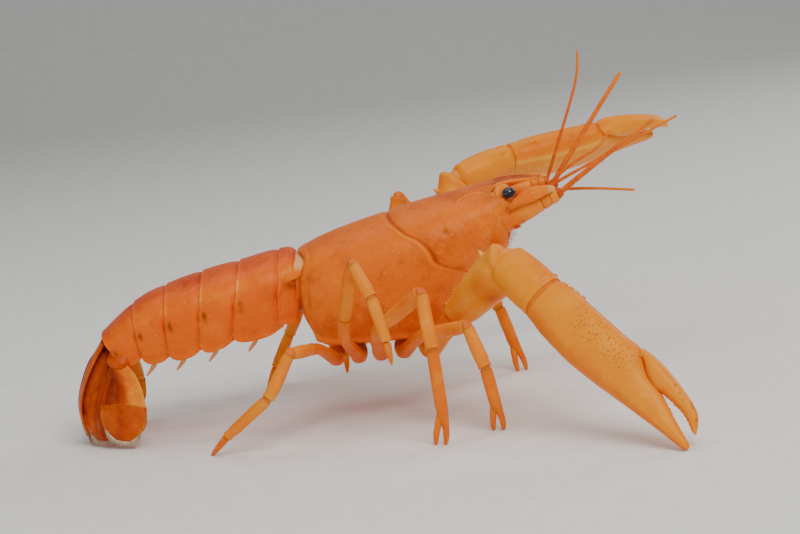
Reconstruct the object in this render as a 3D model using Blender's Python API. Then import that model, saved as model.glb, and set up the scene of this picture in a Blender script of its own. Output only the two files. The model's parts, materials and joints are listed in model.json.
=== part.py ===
"""A cherax crayfish as a still, life-size model, standing with both claws forward.

It faces +X, its right side is at -Y, and it stands on the plane Z = 0. Sizes are in
millimetres until the last step, which centres the model over the origin in metres.
"""

import math

import bmesh
import bpy
import numpy as np
from mathutils import Vector

# Driving dimensions
MM = 0.001
FOOTPRINT_CENTRE = Vector((-2.45, -5.6, 0.0))
GAP = 0.3
THORN_POINT = 0.12
SIDES = {"R": -1, "L": 1}
UP = Vector((0, 0, 1))

# Carapace: place along X, height of the back, half width, height of the widest line,
# height and half width of the lower edge, rise of the hollow under the chest
SHELL = (
    (-17.4, 30.2, 7.6, 23.6, 16.6, 6.7, 0.9),
    (-15.2, 31.2, 9.1, 23.2, 15.0, 8.1, 2.2),
    (-9.0, 33.2, 10.5, 23.2, 14.3, 9.4, 2.6),
    (-2.0, 34.8, 10.8, 23.8, 14.1, 9.5, 2.6),
    (4.0, 36.0, 10.4, 25.0, 14.5, 8.7, 2.4),
    (9.0, 36.9, 9.6, 27.2, 18.4, 7.6, 1.4),
    (13.5, 37.7, 8.4, 30.2, 23.6, 6.4, 0.9),
    (17.9, 38.3, 7.0, 33.0, 28.6, 5.4, 0.6),
)
# Rostrum: place along X, height of the top, half width, thickness
ROSTRUM = (
    (16.0, 38.0, 4.2, 1.6),
    (18.3, 38.5, 3.3, 1.7),
    (21.0, 38.7, 2.8, 1.5),
    (24.5, 38.4, 2.0, 1.1),
    (27.0, 37.9, 0.7, 0.7),
)
POSTORBITAL_RIDGE = ((9.6, -4.6, 35.6), (12.0, -4.5, 36.2), (14.6, -4.4, 36.8))
POSTORBITAL_SPINE = ((14.2, -4.4, 36.8), (16.4, -4.3, 37.9))
# The cervical groove parts the carapace along a plane through a point of the back
CERVICAL_LEAN = 1.12
CERVICAL_TOP = Vector((-1.3, 0, 35.0))

# Abdomen: the back line and the side plates' notches at the seven seams, and half widths
BACK_LINE = (
    (-17.8, 30.3), (-20.5, 30.5), (-27.4, 29.3), (-34.1, 28.2), (-40.7, 26.6), (-46.8, 24.2), (-53.2, 19.4),
)
SIDE_LINE = (
    (-18.2, 18.6), (-21.8, 18.8), (-29.6, 18.0), (-35.5, 17.0), (-41.2, 16.3), (-46.0, 16.0), (-49.4, 14.4),
)
ABDOMEN_HALF_WIDTHS = (7.3, 8.3, 8.9, 8.7, 8.2, 7.6, 6.9)
LOBE_DROPS = (0.2, 1.9, 2.0, 2.0, 1.9, 0.9)
# One somite from front to rear: place in it, share of its lobe, share of its width
SOMITE_SHAPE = ((0, 0.1, 0.955), (0.2, 0.6, 0.985), (0.5, 1.0, 1.0), (0.8, 0.75, 1.01), (1, 0.15, 1.0))

# Walking legs: the place of each coxa along X, and where each joint stands, from the
# body out: ischium end, knee, ankle, heel and toe. Y is the distance from the mid-plane.
COXA_X = {2: -1.0, 3: -4.9, 4: -8.8, 5: -12.7}
COXA_END = (7.3, 11.5)
STANCE = {
    "2_R": ((2.2, 15.2, 15.6), (9.9, 23.0, 17.9), (12.1, 25.2, 11.2),
            (13.2, 25.0, 4.6), (13.3, 24.0, -0.3)),
    "3_R": ((-5.6, 16.8, 17.3), (2.9, 25.0, 24.7), (3.7, 28.2, 15.9),
            (4.2, 30.0, 5.3), (3.3, 29.6, -0.3)),
    "4_R": ((-10.9, 15.4, 16.8), (-7.8, 24.0, 30.6), (-5.3, 27.0, 25.4),
            (-3.5, 29.0, 18.0), (-3.1, 29.2, 14.0)),
    "5_R": ((-15.4, 14.0, 15.2), (-19.8, 23.0, 16.6), (-24.0, 25.0, 10.0),
            (-32.0, 21.5, 3.4), (-35.4, 19.2, -0.3)),
    "2_L": ((2.2, 15.4, 12.6), (12.8, 21.8, 17.2), (17.4, 20.8, 11.8),
            (19.5, 18.8, 4.6), (20.4, 17.4, -0.3)),
    "3_L": ((-4.4, 15.4, 16.0), (1.1, 19.0, 34.8), (4.2, 24.0, 29.2),
            (6.2, 28.5, 21.4), (6.9, 29.6, 16.8)),
    "4_L": ((-9.4, 14.6, 14.2), (-10.6, 27.4, 18.0), (-11.6, 31.4, 11.6),
            (-12.1, 33.0, 3.9), (-12.3, 32.8, -0.3)),
    "5_L": ((-15.0, 14.2, 14.6), (-19.0, 24.0, 16.0), (-22.0, 27.8, 10.0),
            (-25.6, 29.0, 3.4), (-27.5, 28.6, -0.3)),
}
PINCER_LEGS = (2, 3)
# The two fingers of a leg's pincer: place from heel to toe, and share of their spread
FIXED_TIP = ((0.35, 0.7), (0.75, 1.0), (1.0, 0.9))
MOVING_TIP = ((-0.1, 0.2), (0.35, 0.75), (0.75, 1.0), (1.0, 0.9))

# Claw arms: ischium end, elbow, wrist, finger tip, and the way the back of the claw looks
ARMS = {
    "R": (Vector((7.8, -15.0, 17.6)), Vector((17.4, -25.0, 28.0)), Vector((22.4, -31.0, 22.9)),
          Vector((42.6, -51.0, 0.0)), Vector((0.0, -0.985, 0.17))),
    "L": (Vector((7.6, 16.2, 17.8)), Vector((12.5, 21.4, 35.8)), Vector((21.7, 26.0, 37.7)),
          Vector((54.7, 40.0, 39.1)), Vector((0.0, 0.71, 0.70))),
}
# Palm and fixed finger: place along the claw, outer edge, inner edge, half thickness
PALM = (
    (0.0, -3.3, 3.3, 2.3),
    (2.5, -4.2, 4.2, 2.8),
    (6.0, -4.5, 4.5, 3.1),
    (12.0, -4.5, 4.8, 3.1),
    (15.5, -4.1, 4.95, 2.95),
    (17.8, -3.8, 5.1, 2.75),
    (18.8, -3.6, 4.6, 2.6),
    (20.3, -3.4, 3.65, 2.35),
    (22.0, -3.15, 2.8, 2.1),
    (25.7, -2.65, 2.25, 1.6),
    (28.5, -2.25, 1.35, 1.3),
    (33.0, -1.65, 0.1, 0.8),
    (35.0, -1.3, -0.5, 0.4),
)
FINGER = (
    (18.9, 4.9, 5.5, 1.4),
    (20.3, 4.02, 5.68, 1.8),
    (22.0, 3.17, 5.78, 2.0),
    (25.7, 2.6, 5.5, 1.75),
    (28.0, 2.95, 5.15, 1.5),
    (30.2, 2.75, 4.7, 1.25),
    (32.2, 2.1, 3.9, 0.95),
    (34.2, 1.1, 1.9, 0.4),
)
# Where the fingers part, how much the moving one closes beyond it, and how much longer the
# fixed and the moving finger are beyond it than the tables give
CROTCH = 25.7
FINGER_SHUT = {"R": 0.0, "L": 0.09}
FINGER_STRETCH = {"R": (0.0, 0.0), "L": (-0.33, 0.07)}

# Tail fan blades: centre line, half widths and thicknesses, all from root to tip. Y is the
# distance from the mid-plane. The outer left blade is folded in further than the right one.
TELSON = (((-53.0, 0, 17.9), (-56.4, 0, 13.0), (-58.5, 0, 7.6), (-58.3, 0, 2.4), (-57.7, 0, -0.4)),
          (4.0, 4.5, 4.5, 4.0, 3.0), (1.6, 1.2, 0.9, 0.8, 0.7))
INNER_FAN = (((-51.5, 2.6, 16.0), (-53.0, 3.9, 12.6), (-54.5, 5.3, 8.0), (-54.8, 5.6, 3.0),
              (-54.6, 5.5, -0.4)),
             (1.3, 2.4, 3.5, 3.4, 2.0), (1.1, 0.9, 0.8, 0.8, 0.7))
OUTER_FAN = {
    "R": ((-51.5, 6.0, 14.1), (-50.2, 7.6, 12.2), (-50.2, 8.9, 8.2), (-50.9, 8.8, 3.4), (-51.5, 8.5, -0.4)),
    "L": ((-51.5, 6.0, 14.1), (-51.3, 8.1, 12.2), (-51.6, 9.7, 8.2), (-52.1, 9.7, 3.4), (-52.5, 9.4, -0.4)),
}
OUTER_FAN_SIZES = ((1.4, 2.9, 4.1, 4.2, 2.6), (1.9, 1.1, 0.9, 0.8, 0.7))
# How far the blades face sideways, in degrees
INNER_FAN_TURN = 58
OUTER_FAN_TURN = {"R": 74, "L": 46}

# Section of a blade: place across it, and share of its half thickness
BLADE_SECTION = ((-1, 0), (-0.6, 0.8), (0, 1), (0.6, 0.8), (1, 0), (0.6, -0.8), (0, -1), (-0.6, -0.8))

# Head parts, right side; the left side is its mirror image
EYE_ROOT = Vector((18.9, -3.9, 36.35))
EYE_AIM = Vector((0.62, -0.76, 0.16)).normalized()
EYE_RADIUS = 1.3
STALK_LENGTH = 1.1
ANTENNA_BASE = (
    (18.25, -5.4, 31.4), (20.6, -5.5, 32.5), (23.4, -5.5, 33.7), (26.0, -5.5, 34.7), (28.4, -5.5, 35.5),
)
ANTENNA_BASE_RADII = (1.9, 1.85, 1.7, 1.45, 1.15)
ANTENNA_SCALE = (
    (19.6, -7.7, 34.2), (21.5, -7.9, 35.5), (23.5, -7.9, 36.3), (25.5, -7.7, 36.7), (27.9, -7.2, 37.0),
)
ANTENNULE_BASE = ((18.3, -2.0, 34.3), (20.5, -2.0, 34.8), (23.5, -2.0, 35.4), (26.4, -2.0, 35.9))
MAXILLIPED = (
    (7.4, -3.2, 15.2), (10.4, -3.1, 17.8), (14.0, -2.9, 21.6), (17.4, -2.7, 26.0), (19.6, -2.4, 30.2),
)
ANTENNAE = {
    "R": ((28.7, -5.5, 35.7), (34.2, -7.0, 39.6), (39.6, -8.0, 43.2), (45.5, -10.0, 47.1)),
    "L": ((28.6, 5.5, 36.0), (34.3, 6.5, 43.4), (38.6, 7.3, 48.9), (42.5, 8.0, 53.8)),
}
FEELERS = {
    "outer_R": ((27.0, -1.7, 36.3), (31.0, -1.8, 38.1), (36.5, -2.0, 40.4), (43.6, -2.5, 43.5),
                (50.3, -3.0, 46.4)),
    "inner_R": ((27.0, -2.4, 35.7), (30.0, -3.4, 35.9), (34.0, -5.0, 35.8), (37.8, -6.6, 35.5),
                (41.4, -8.0, 35.1)),
    "outer_L": ((27.0, 1.7, 36.4), (29.6, 1.2, 43.0), (32.9, 0.2, 51.4), (34.2, 0.0, 55.6),
                (34.6, 0.0, 59.2)),
    "inner_L": ((27.0, 2.4, 35.9), (31.6, 3.0, 39.0), (34.5, 3.6, 40.4), (36.9, 4.0, 41.6),
                (39.3, 4.0, 44.3)),
}

COLOURS = {
    "shell": (0.60, 0.21, 0.04, 0.42),
    "tail": (0.72, 0.17, 0.03, 0.38),
    "claw": (0.90, 0.36, 0.06, 0.36),
    "leg": (0.86, 0.34, 0.08, 0.42),
    "feeler": (0.70, 0.20, 0.05, 0.45),
    "eye": (0.01, 0.012, 0.03, 0.08),
}


def clear_scene():
    for thing in list(bpy.data.objects):
        bpy.data.objects.remove(thing)


def material(kind):
    """The plain finish of one kind of piece."""
    found = bpy.data.materials.get(kind)
    if found:
        return found
    found = bpy.data.materials.new(kind)
    found.use_nodes = True
    shader = found.node_tree.nodes["Principled BSDF"]
    red, green, blue, rough = COLOURS[kind]
    shader.inputs["Base Color"].default_value = (red, green, blue, 1)
    shader.inputs["Roughness"].default_value = rough
    shader.inputs["Metallic"].default_value = 0.0
    return found


def add_node(name, solid, kind):
    """Makes an object of a solid in millimetres, over the origin and in metres."""
    for vertex in solid.verts:
        vertex.co = (vertex.co - FOOTPRINT_CENTRE) * MM
    mesh = bpy.data.meshes.new(name)
    solid.to_mesh(mesh)
    solid.free()
    mesh.materials.append(material(kind))
    mesh.shade_smooth()
    mesh.set_sharp_from_angle(angle=math.radians(40))
    obj = bpy.data.objects.new(name, mesh)
    bpy.context.scene.collection.objects.link(obj)


def loft(rings):
    """A closed solid through rings of equally many points, capped at both ends."""
    solid = bmesh.new()
    rows = [[solid.verts.new(point) for point in ring] for ring in rings]
    count = len(rows[0])
    for near, far in zip(rows, rows[1:]):
        for i in range(count):
            j = (i + 1) % count
            solid.faces.new((near[i], near[j], far[j]))
            solid.faces.new((near[i], far[j], far[i]))
    solid.faces.new(list(reversed(rows[0])))
    solid.faces.new(rows[-1])
    bmesh.ops.triangulate(solid, faces=solid.faces[:])
    if solid.calc_volume(signed=True) < 0:
        bmesh.ops.reverse_faces(solid, faces=solid.faces[:])
    return solid


def cut(solid, point, normal):
    """Takes away what lies beyond a plane and closes the cut."""
    every = solid.verts[:] + solid.edges[:] + solid.faces[:]
    found = bmesh.ops.bisect_plane(
        solid, geom=every, dist=1e-5, plane_co=point, plane_no=normal, clear_outer=True
    )
    edges = [item for item in found["geom_cut"] if isinstance(item, bmesh.types.BMEdge)]
    filled = bmesh.ops.holes_fill(solid, edges=edges, sides=0)
    bmesh.ops.triangulate(solid, faces=filled["faces"])
    return solid


def stand_on_floor(solid):
    """Cuts a small flat at the level of the floor on a piece that reaches below it."""
    if min(vertex.co.z for vertex in solid.verts) < 0:
        cut(solid, Vector((0, 0, 0)), Vector((0, 0, -1)))
    return solid


def fuse(pieces):
    """One closed solid of pieces that overlap, joined by one Boolean union."""
    spare = bpy.data.collections.new("pieces")
    made = []
    for piece in pieces:
        mesh = bpy.data.meshes.new("piece")
        piece.to_mesh(mesh)
        piece.free()
        made.append(bpy.data.objects.new("piece", mesh))
    for obj in made[1:]:
        spare.objects.link(obj)
    base = made[0]
    bpy.context.scene.collection.objects.link(base)
    union = base.modifiers.new("union", "BOOLEAN")
    union.operation = "UNION"
    union.operand_type = "COLLECTION"
    union.solver = "MANIFOLD"
    union.collection = spare
    bpy.context.view_layer.update()
    graph = bpy.context.evaluated_depsgraph_get()
    solid = bmesh.new()
    solid.from_object(base, graph)
    for obj in made:
        bpy.data.objects.remove(obj)
    bpy.data.collections.remove(spare)
    return largest_body(solid)


def largest_body(solid):
    """Keeps the closed surface with the most points."""
    unseen = set(solid.verts)
    bodies = []
    while unseen:
        body = set()
        front = [unseen.pop()]
        while front:
            vertex = front.pop()
            body.add(vertex)
            for link in vertex.link_edges:
                other = link.other_vert(vertex)
                if other in unseen:
                    unseen.discard(other)
                    front.append(other)
        bodies.append(body)
    bodies.sort(key=len)
    for body in bodies[:-1]:
        bmesh.ops.delete(solid, geom=list(body), context="VERTS")
    bmesh.ops.triangulate(solid, faces=solid.faces[:])
    return solid


def between(table, place):
    """The row at one place of a table of stations, on a smooth curve through its rows."""
    table = np.array(table, float)
    places = table[:, 0]
    slopes = np.gradient(table, places, axis=0)
    i = int(np.clip(np.searchsorted(places, place) - 1, 0, len(places) - 2))
    span = places[i + 1] - places[i]
    t = (place - places[i]) / span
    start = (2 * t**3 - 3 * t**2 + 1) * table[i] + (t**3 - 2 * t**2 + t) * span * slopes[i]
    end = (3 * t**2 - 2 * t**3) * table[i + 1] + (t**3 - t**2) * span * slopes[i + 1]
    return start + end


def along(points, share):
    """The point at a share of the way along a smooth curve through points."""
    table = [(i, *point) for i, point in enumerate(points)]
    return Vector(between(table, share * (len(points) - 1))[1:])


def mirrored(points, side):
    """Points given for the right side, as they are or turned over to the left."""
    return [Vector((x, y if side < 0 else -y, z)) for x, y, z in points]


def oval(centre, wide, thick, half_width, half_thickness, sides, power=2.3):
    """A ring of points on a rounded section round a centre."""
    ring = []
    for i in range(sides):
        turn = 2 * math.pi * (i + 0.5) / sides
        c, s = math.cos(turn), math.sin(turn)
        x = math.copysign(abs(c) ** (2 / power), c) * half_width
        y = math.copysign(abs(s) ** (2 / power), s) * half_thickness
        ring.append(centre + wide * x + thick * y)
    return ring


def across(tangent, face):
    """The ways across a piece: in the plane of its broad face, and out of that face."""
    thick = (face - tangent * face.dot(tangent)).normalized()
    return thick.cross(tangent).normalized(), thick


def limb(points, widths, depths, face, sides=10, first=None, last=None):
    """A bent, tapering piece. first and last are the ways its end faces look along."""
    rings = []
    for i, point in enumerate(points):
        tangent = (points[min(i + 1, len(points) - 1)] - points[max(i - 1, 0)]).normalized()
        if i == 0 and first:
            tangent = first
        if i == len(points) - 1 and last:
            tangent = last
        wide, thick = across(tangent, face)
        rings.append(oval(point, wide, thick, widths[i], depths[i], sides))
    return loft(rings)


def run(start, end, shares):
    """Points at shares of the straight way from start to end."""
    return [start.lerp(end, share) for share in shares]


def thorn(root, tip, radius, sides=5):
    """A spine as a small cone, its root on the given point."""
    aim = (tip - root).normalized()
    wide, thick = across(aim, UP if abs(aim.z) < 0.9 else Vector((1, 0, 0)))
    base = oval(root, wide, thick, radius, radius, sides, 2)
    point = oval(tip, wide, thick, THORN_POINT, THORN_POINT, sides, 2)
    return loft([base, point])


def shell_section(half_width, height, wide_at, foot, hollow, arc=9):
    """Side and height of each point of a domed plate's section, hollow underneath."""
    outer = []
    for i in range(arc + 1):
        turn = 0.5 * math.pi * i / arc
        side = half_width * math.cos(turn) ** 0.84
        outer.append((side, wide_at + (height - wide_at) * math.sin(turn) ** 0.92))
    middle = ((2 * half_width + foot) / 3, wide_at / 2)
    right = [(foot - 1.6, hollow), (foot - 1.1, 0.0), (foot, 0.0), middle] + outer[:-1]
    return right + [(0.0, height)] + [(-side, up) for side, up in reversed(right)]


def shell_ring(place):
    x, top, half_width, wide_z, low_z, foot, hollow = between(SHELL, place)
    section = shell_section(half_width, top - low_z, wide_z - low_z, foot, hollow)
    return [Vector((x, side, low_z + up)) for side, up in section]


def carapace():
    """The whole carapace without its rostrum, as one closed loft."""
    places = (-17.4, -16.6, -15.2, -12.0, -9.0, -5.5, -2.0, 1.0, 4.0, 6.5, 9.0, 11.2, 13.5, 15.8, 17.9)
    return loft([shell_ring(place) for place in places])


def rostrum():
    rings = []
    for place in np.linspace(ROSTRUM[0][0], ROSTRUM[-1][0], 9):
        x, top, half_width, thickness = between(ROSTRUM, place)
        centre = Vector((x, 0, top - thickness / 2))
        rings.append(oval(centre, Vector((0, 1, 0)), UP, half_width, thickness / 2, 10, 3))
    return loft(rings)


def add_shells():
    """The carapace parted along the cervical groove into its head and back halves."""
    groove = Vector((1, 0, CERVICAL_LEAN)).normalized()
    head = cut(carapace(), CERVICAL_TOP + groove * GAP / 2, -groove)
    back = cut(carapace(), CERVICAL_TOP - groove * GAP / 2, groove)
    ridges = []
    for side in SIDES.values():
        ridge = mirrored(POSTORBITAL_RIDGE, side)
        ridges.append(limb(ridge, (0.3, 0.5, 0.45), (0.5, 0.8, 0.7), UP, 6))
        ridges.append(thorn(*mirrored(POSTORBITAL_SPINE, side), 0.7))
    add_node("head_shell", fuse([head, rostrum()] + ridges), "shell")
    add_node("back_shell", back, "shell")


def add_chest():
    """The breast plate in the hollow of the carapace, with the ten stubs of the legs."""
    rings = []
    for place in (-15.6, -14.4, -11.0, -6.0, -1.0, 3.0, 5.4, 6.4):
        low_z, foot, hollow = between(SHELL, place)[4:]
        top = low_z + hollow - GAP - 0.1
        half = (foot - 2.2) * (0.75 if place in (-15.6, 6.4) else 1.0)
        bottom = low_z - 1.2
        right = [(half * 0.5, bottom), (half, bottom + 0.9), (half, top)]
        ring = right + [(0, top)] + [(-y, z) for y, z in reversed(right)]
        rings.append([Vector((place, y, z)) for y, z in ring])
    pieces = [loft(rings)]
    stubs = [(x, 1.6) for x in COXA_X.values()] + [(3.8, 2.2)]
    for side in SIDES.values():
        for x, radius in stubs:
            out = Vector((0, side, -0.16)).normalized()
            end = Vector((x, side * COXA_END[0], COXA_END[1]))
            points = run(end - out * 4.6, end, (0, 0.5, 1))
            widths = (radius * 0.8, radius, radius * 0.86)
            pieces.append(limb(points, widths, widths, UP, 10, out, out))
    add_node("chest", fuse(pieces), "leg")


def abdomen_line(table, place):
    x, z = between([(i, *point) for i, point in enumerate(table)], place)[1:]
    return Vector((x, 0, z))


def abdomen_ring(place, lobe, swell):
    """A section of the abdomen at a place counted in somites from its front."""
    top = abdomen_line(BACK_LINE, place)
    foot = abdomen_line(SIDE_LINE, place)
    up = (top - foot).normalized()
    half_width = between(list(enumerate(ABDOMEN_HALF_WIDTHS)), place)[1] * swell
    height = (top - foot).length * (1 + swell) / 2
    base = foot - up * lobe
    hollow = 1.3 + lobe
    section = shell_section(half_width, height + lobe, (height + lobe) * 0.42, half_width * 0.93, hollow, 7)
    return [base + up * h + Vector((0, side, 0)) for side, h in section]


def pleopod(number, side):
    """A swimming leg that hangs from a somite and trails backwards."""
    foot = abdomen_line(SIDE_LINE, number - 0.45)
    start = foot + Vector((0.4, side * 3.4, 2.4))
    knee = foot + Vector((0.2, side * 4.4, -1.4))
    end = foot + Vector((-1.8, side * 4.9, -4.2))
    points = [start, start.lerp(knee, 0.55), knee, knee.lerp(end, 0.5), end]
    return limb(points, (0.8, 0.8, 1.0, 1.1, 0.4), (0.5, 0.5, 0.4, 0.35, 0.25), Vector((1, 0, 0.3)), 6)


def add_abdomen():
    """Six somites, each with its side lobes, and swimming legs under the second to fifth."""
    for number, drop in enumerate(LOBE_DROPS, 1):
        start, end = number - 1 + 0.02, number - 0.03
        rings = []
        for share, lobe, swell in SOMITE_SHAPE:
            rings.append(abdomen_ring(start + (end - start) * share, drop * lobe, swell))
        pieces = [loft(rings)]
        if 2 <= number <= 5:
            pieces += [pleopod(number, side) for side in SIDES.values()]
        add_node(f"abdomen_{number}", fuse(pieces) if len(pieces) > 1 else pieces[0], "tail")


def blade(centres, widths, depths, side, turn, cup):
    """A thin plate of the tail fan. turn is how far it faces sideways, cup how deep it bends."""
    points = [Vector((x, y * side, z)) for x, y, z in centres]
    rings = []
    steps = 9
    for i in range(steps + 1):
        share = i / steps
        centre = along(points, share)
        tangent = (along(points, min(share + 0.05, 1)) - along(points, max(share - 0.05, 0))).normalized()
        face = Vector((-math.cos(turn), side * math.sin(turn), 0.0))
        wide, thick = across(tangent, face)
        half = between([(k / 4, w) for k, w in enumerate(widths)], share)[1]
        depth = between([(k / 4, d) for k, d in enumerate(depths)], share)[1] / 2
        ring = []
        for t, lift in BLADE_SECTION:
            bend = -cup * t * t * min(1, share * 2)
            ring.append(centre + wide * (half * t) + thick * (bend + depth * lift))
        rings.append(ring)
    return rings


def add_tail_fan():
    """The telson and the two pairs of uropods, bent down to stand on the floor."""
    add_node("telson", stand_on_floor(loft(blade(*TELSON, 1, 0.0, 0.5))), "tail")
    for name, side in SIDES.items():
        inner = blade(*INNER_FAN, side, math.radians(INNER_FAN_TURN), 0.3)
        add_node(f"uropod_inner_{name}", stand_on_floor(loft(inner)), "tail")
        outer = blade(OUTER_FAN[name], *OUTER_FAN_SIZES, side, math.radians(OUTER_FAN_TURN[name]), 0.3)
        add_node(f"uropod_outer_{name}", stand_on_floor(loft(outer)), "tail")


def add_eyes():
    for name, side in SIDES.items():
        root, tip = mirrored([EYE_ROOT, EYE_ROOT + EYE_AIM * 4], side)
        aim = (tip - root).normalized()
        wide, thick = across(aim, UP)
        stalk = []
        for share, radius in ((0, 1.2), (0.35, 1.6), (0.7, 1.65), (1, 1.4)):
            stalk.append(oval(root + aim * STALK_LENGTH * share, wide, thick, radius, radius, 12, 2))
        add_node(f"eyestalk_{name}", loft(stalk), "leg")
        eye = []
        centre = root + aim * (STALK_LENGTH + GAP + 0.3)
        for latitude in (-18, 5, 28, 50, 70, 84):
            swing = math.radians(latitude)
            radius = EYE_RADIUS * math.cos(swing)
            ahead = aim * EYE_RADIUS * math.sin(swing)
            eye.append(oval(centre + ahead, wide, thick, radius, radius, 12, 2))
        add_node(f"eye_{name}", loft(eye), "eye")


def feeler(points, start_radius, end_radius, sides, steps):
    path = [along(points, i / steps) for i in range(steps + 1)]
    radii = [start_radius + (end_radius - start_radius) * i / steps for i in range(steps + 1)]
    return limb(path, radii, radii, UP, sides)


def add_feelers():
    """Antennae on thick jointed bases with a scale beside each, and antennules between them."""
    for name, side in SIDES.items():
        path = mirrored(ANTENNA_BASE, side)
        radii = ANTENNA_BASE_RADII
        add_node(f"antenna_base_{name}", limb(path, radii, radii, UP, 12, Vector((1, 0, 0))), "leg")
        points = [Vector(point) for point in ANTENNAE[name]]
        add_node(f"antenna_{name}", feeler(points, 0.5, 0.36, 8, 9), "feeler")
        scale = mirrored(ANTENNA_SCALE, side)
        plate = limb(scale, (0.3, 0.75, 1.15, 0.9, 0.25), (0.35, 0.35, 0.35, 0.3, 0.2),
                     Vector((0, side, 0.1)), 8)
        add_node(f"antenna_scale_{name}", plate, "leg")
        base = mirrored(ANTENNULE_BASE, side)
        trunk = (1.0, 1.0, 0.95, 0.8)
        add_node(f"antennule_base_{name}", limb(base, trunk, trunk, UP, 8, Vector((1, 0, 0))), "leg")
        for kind in ("outer", "inner"):
            points = [Vector(point) for point in FEELERS[f"{kind}_{name}"]]
            add_node(f"antennule_{kind}_{name}", feeler(points, 0.3, 0.22, 6, 8), "feeler")


def add_maxillipeds():
    """The outer mouth legs, folded forward under the head."""
    for name, side in SIDES.items():
        path = mirrored(MAXILLIPED, side)
        radii = (1.2, 1.4, 1.3, 1.2, 0.7)
        add_node(f"maxilliped_{name}", limb(path, radii, radii, UP, 8), "leg")


def add_walking_leg(pair, name):
    """One leg in two nodes: ischium and merus, then carpus, propodus and toe."""
    side = SIDES[name]
    start = Vector((COXA_X[pair], side * COXA_END[0], COXA_END[1]))
    out = Vector((0, side, -0.16)).normalized()
    root = start + out * GAP
    hip, knee, ankle, heel, toe = [Vector((x, side * y, z)) for x, y, z in STANCE[f"{pair}_{name}"]]
    size = 1.08 if pair in PINCER_LEGS else 1.0
    bend = ((knee - hip).normalized() + (ankle - knee).normalized()).normalized()
    face = Vector((1, 0.2 * side, 0))
    upper = run(root, hip, (0, 0.35, 0.8)) + run(hip, knee, (0.12, 0.5, 0.85)) + [knee - bend * GAP / 2]
    widths = [size * w for w in (1.25, 1.05, 0.95, 1.05, 1.12, 1.05, 0.95)]
    depths = [size * d for d in (1.25, 1.1, 1.05, 1.2, 1.28, 1.2, 1.05)]
    add_node(f"leg{pair}_upper_{name}", limb(upper, widths, depths, face, 10, out, bend), "leg")
    lower = [knee + bend * GAP / 2] + run(knee, ankle, (0.32, 0.9)) + run(ankle, heel, (0.15, 0.6, 0.95))
    widths = [0.92, 0.98, 1.0, 0.86, 0.85, 0.72]
    depths = [1.0, 1.08, 1.06, 0.98, 0.95, 0.8]
    if pair in PINCER_LEGS:
        foot = pincer(lower, widths, depths, heel, toe, face, bend, size)
        add_node(f"leg{pair}_lower_{name}", foot, "leg")
        return
    lower += run(heel, toe, (0.3, 0.7, 1.0))
    widths = [size * w for w in widths + [0.52, 0.4, 0.22]]
    depths = [size * d for d in depths + [0.6, 0.45, 0.24]]
    add_node(f"leg{pair}_lower_{name}", stand_on_floor(limb(lower, widths, depths, face, 10, bend)), "leg")


def pincer(lower, widths, depths, heel, toe, face, bend, size):
    """The lower part of a leg that ends in a small pincer of two fingers."""
    apart = across((toe - heel).normalized(), face)[1] * 0.85
    fixed = [heel.lerp(toe, share) + apart * lean for share, lean in FIXED_TIP]
    moving = [heel.lerp(toe, share) - apart * lean for share, lean in MOVING_TIP]
    main = limb(
        lower + fixed,
        [size * w for w in widths + [0.5, 0.42, 0.25]],
        [size * d for d in depths + [0.6, 0.45, 0.25]],
        face, 10, bend,
    )
    finger = limb(moving, (0.5, 0.5, 0.42, 0.25), (0.55, 0.55, 0.42, 0.25), face, 8)
    return stand_on_floor(fuse([main, finger]))


def claw_axes(wrist, tip, face, side):
    """Along the claw, across it towards the moving finger, and out of its back."""
    ahead = (tip - wrist).normalized()
    back = (face - ahead * face.dot(ahead)).normalized()
    inner = back.cross(ahead) * -side
    return ahead, inner, back


def claw_loft(table, wrist, axes, steps, sides=14, shut=0.0, stretch=0.0):
    ahead, inner, back = axes
    rings = []
    for place in np.linspace(table[0][0], table[-1][0], steps):
        s, low, high, depth = between(table, place)
        beyond = max(0.0, s - CROTCH)
        centre = wrist + ahead * (s + stretch * beyond) + inner * ((low + high) / 2 - shut * beyond)
        rings.append(oval(centre, inner, back, (high - low) / 2, depth, sides, 2.4))
    return rings


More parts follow.
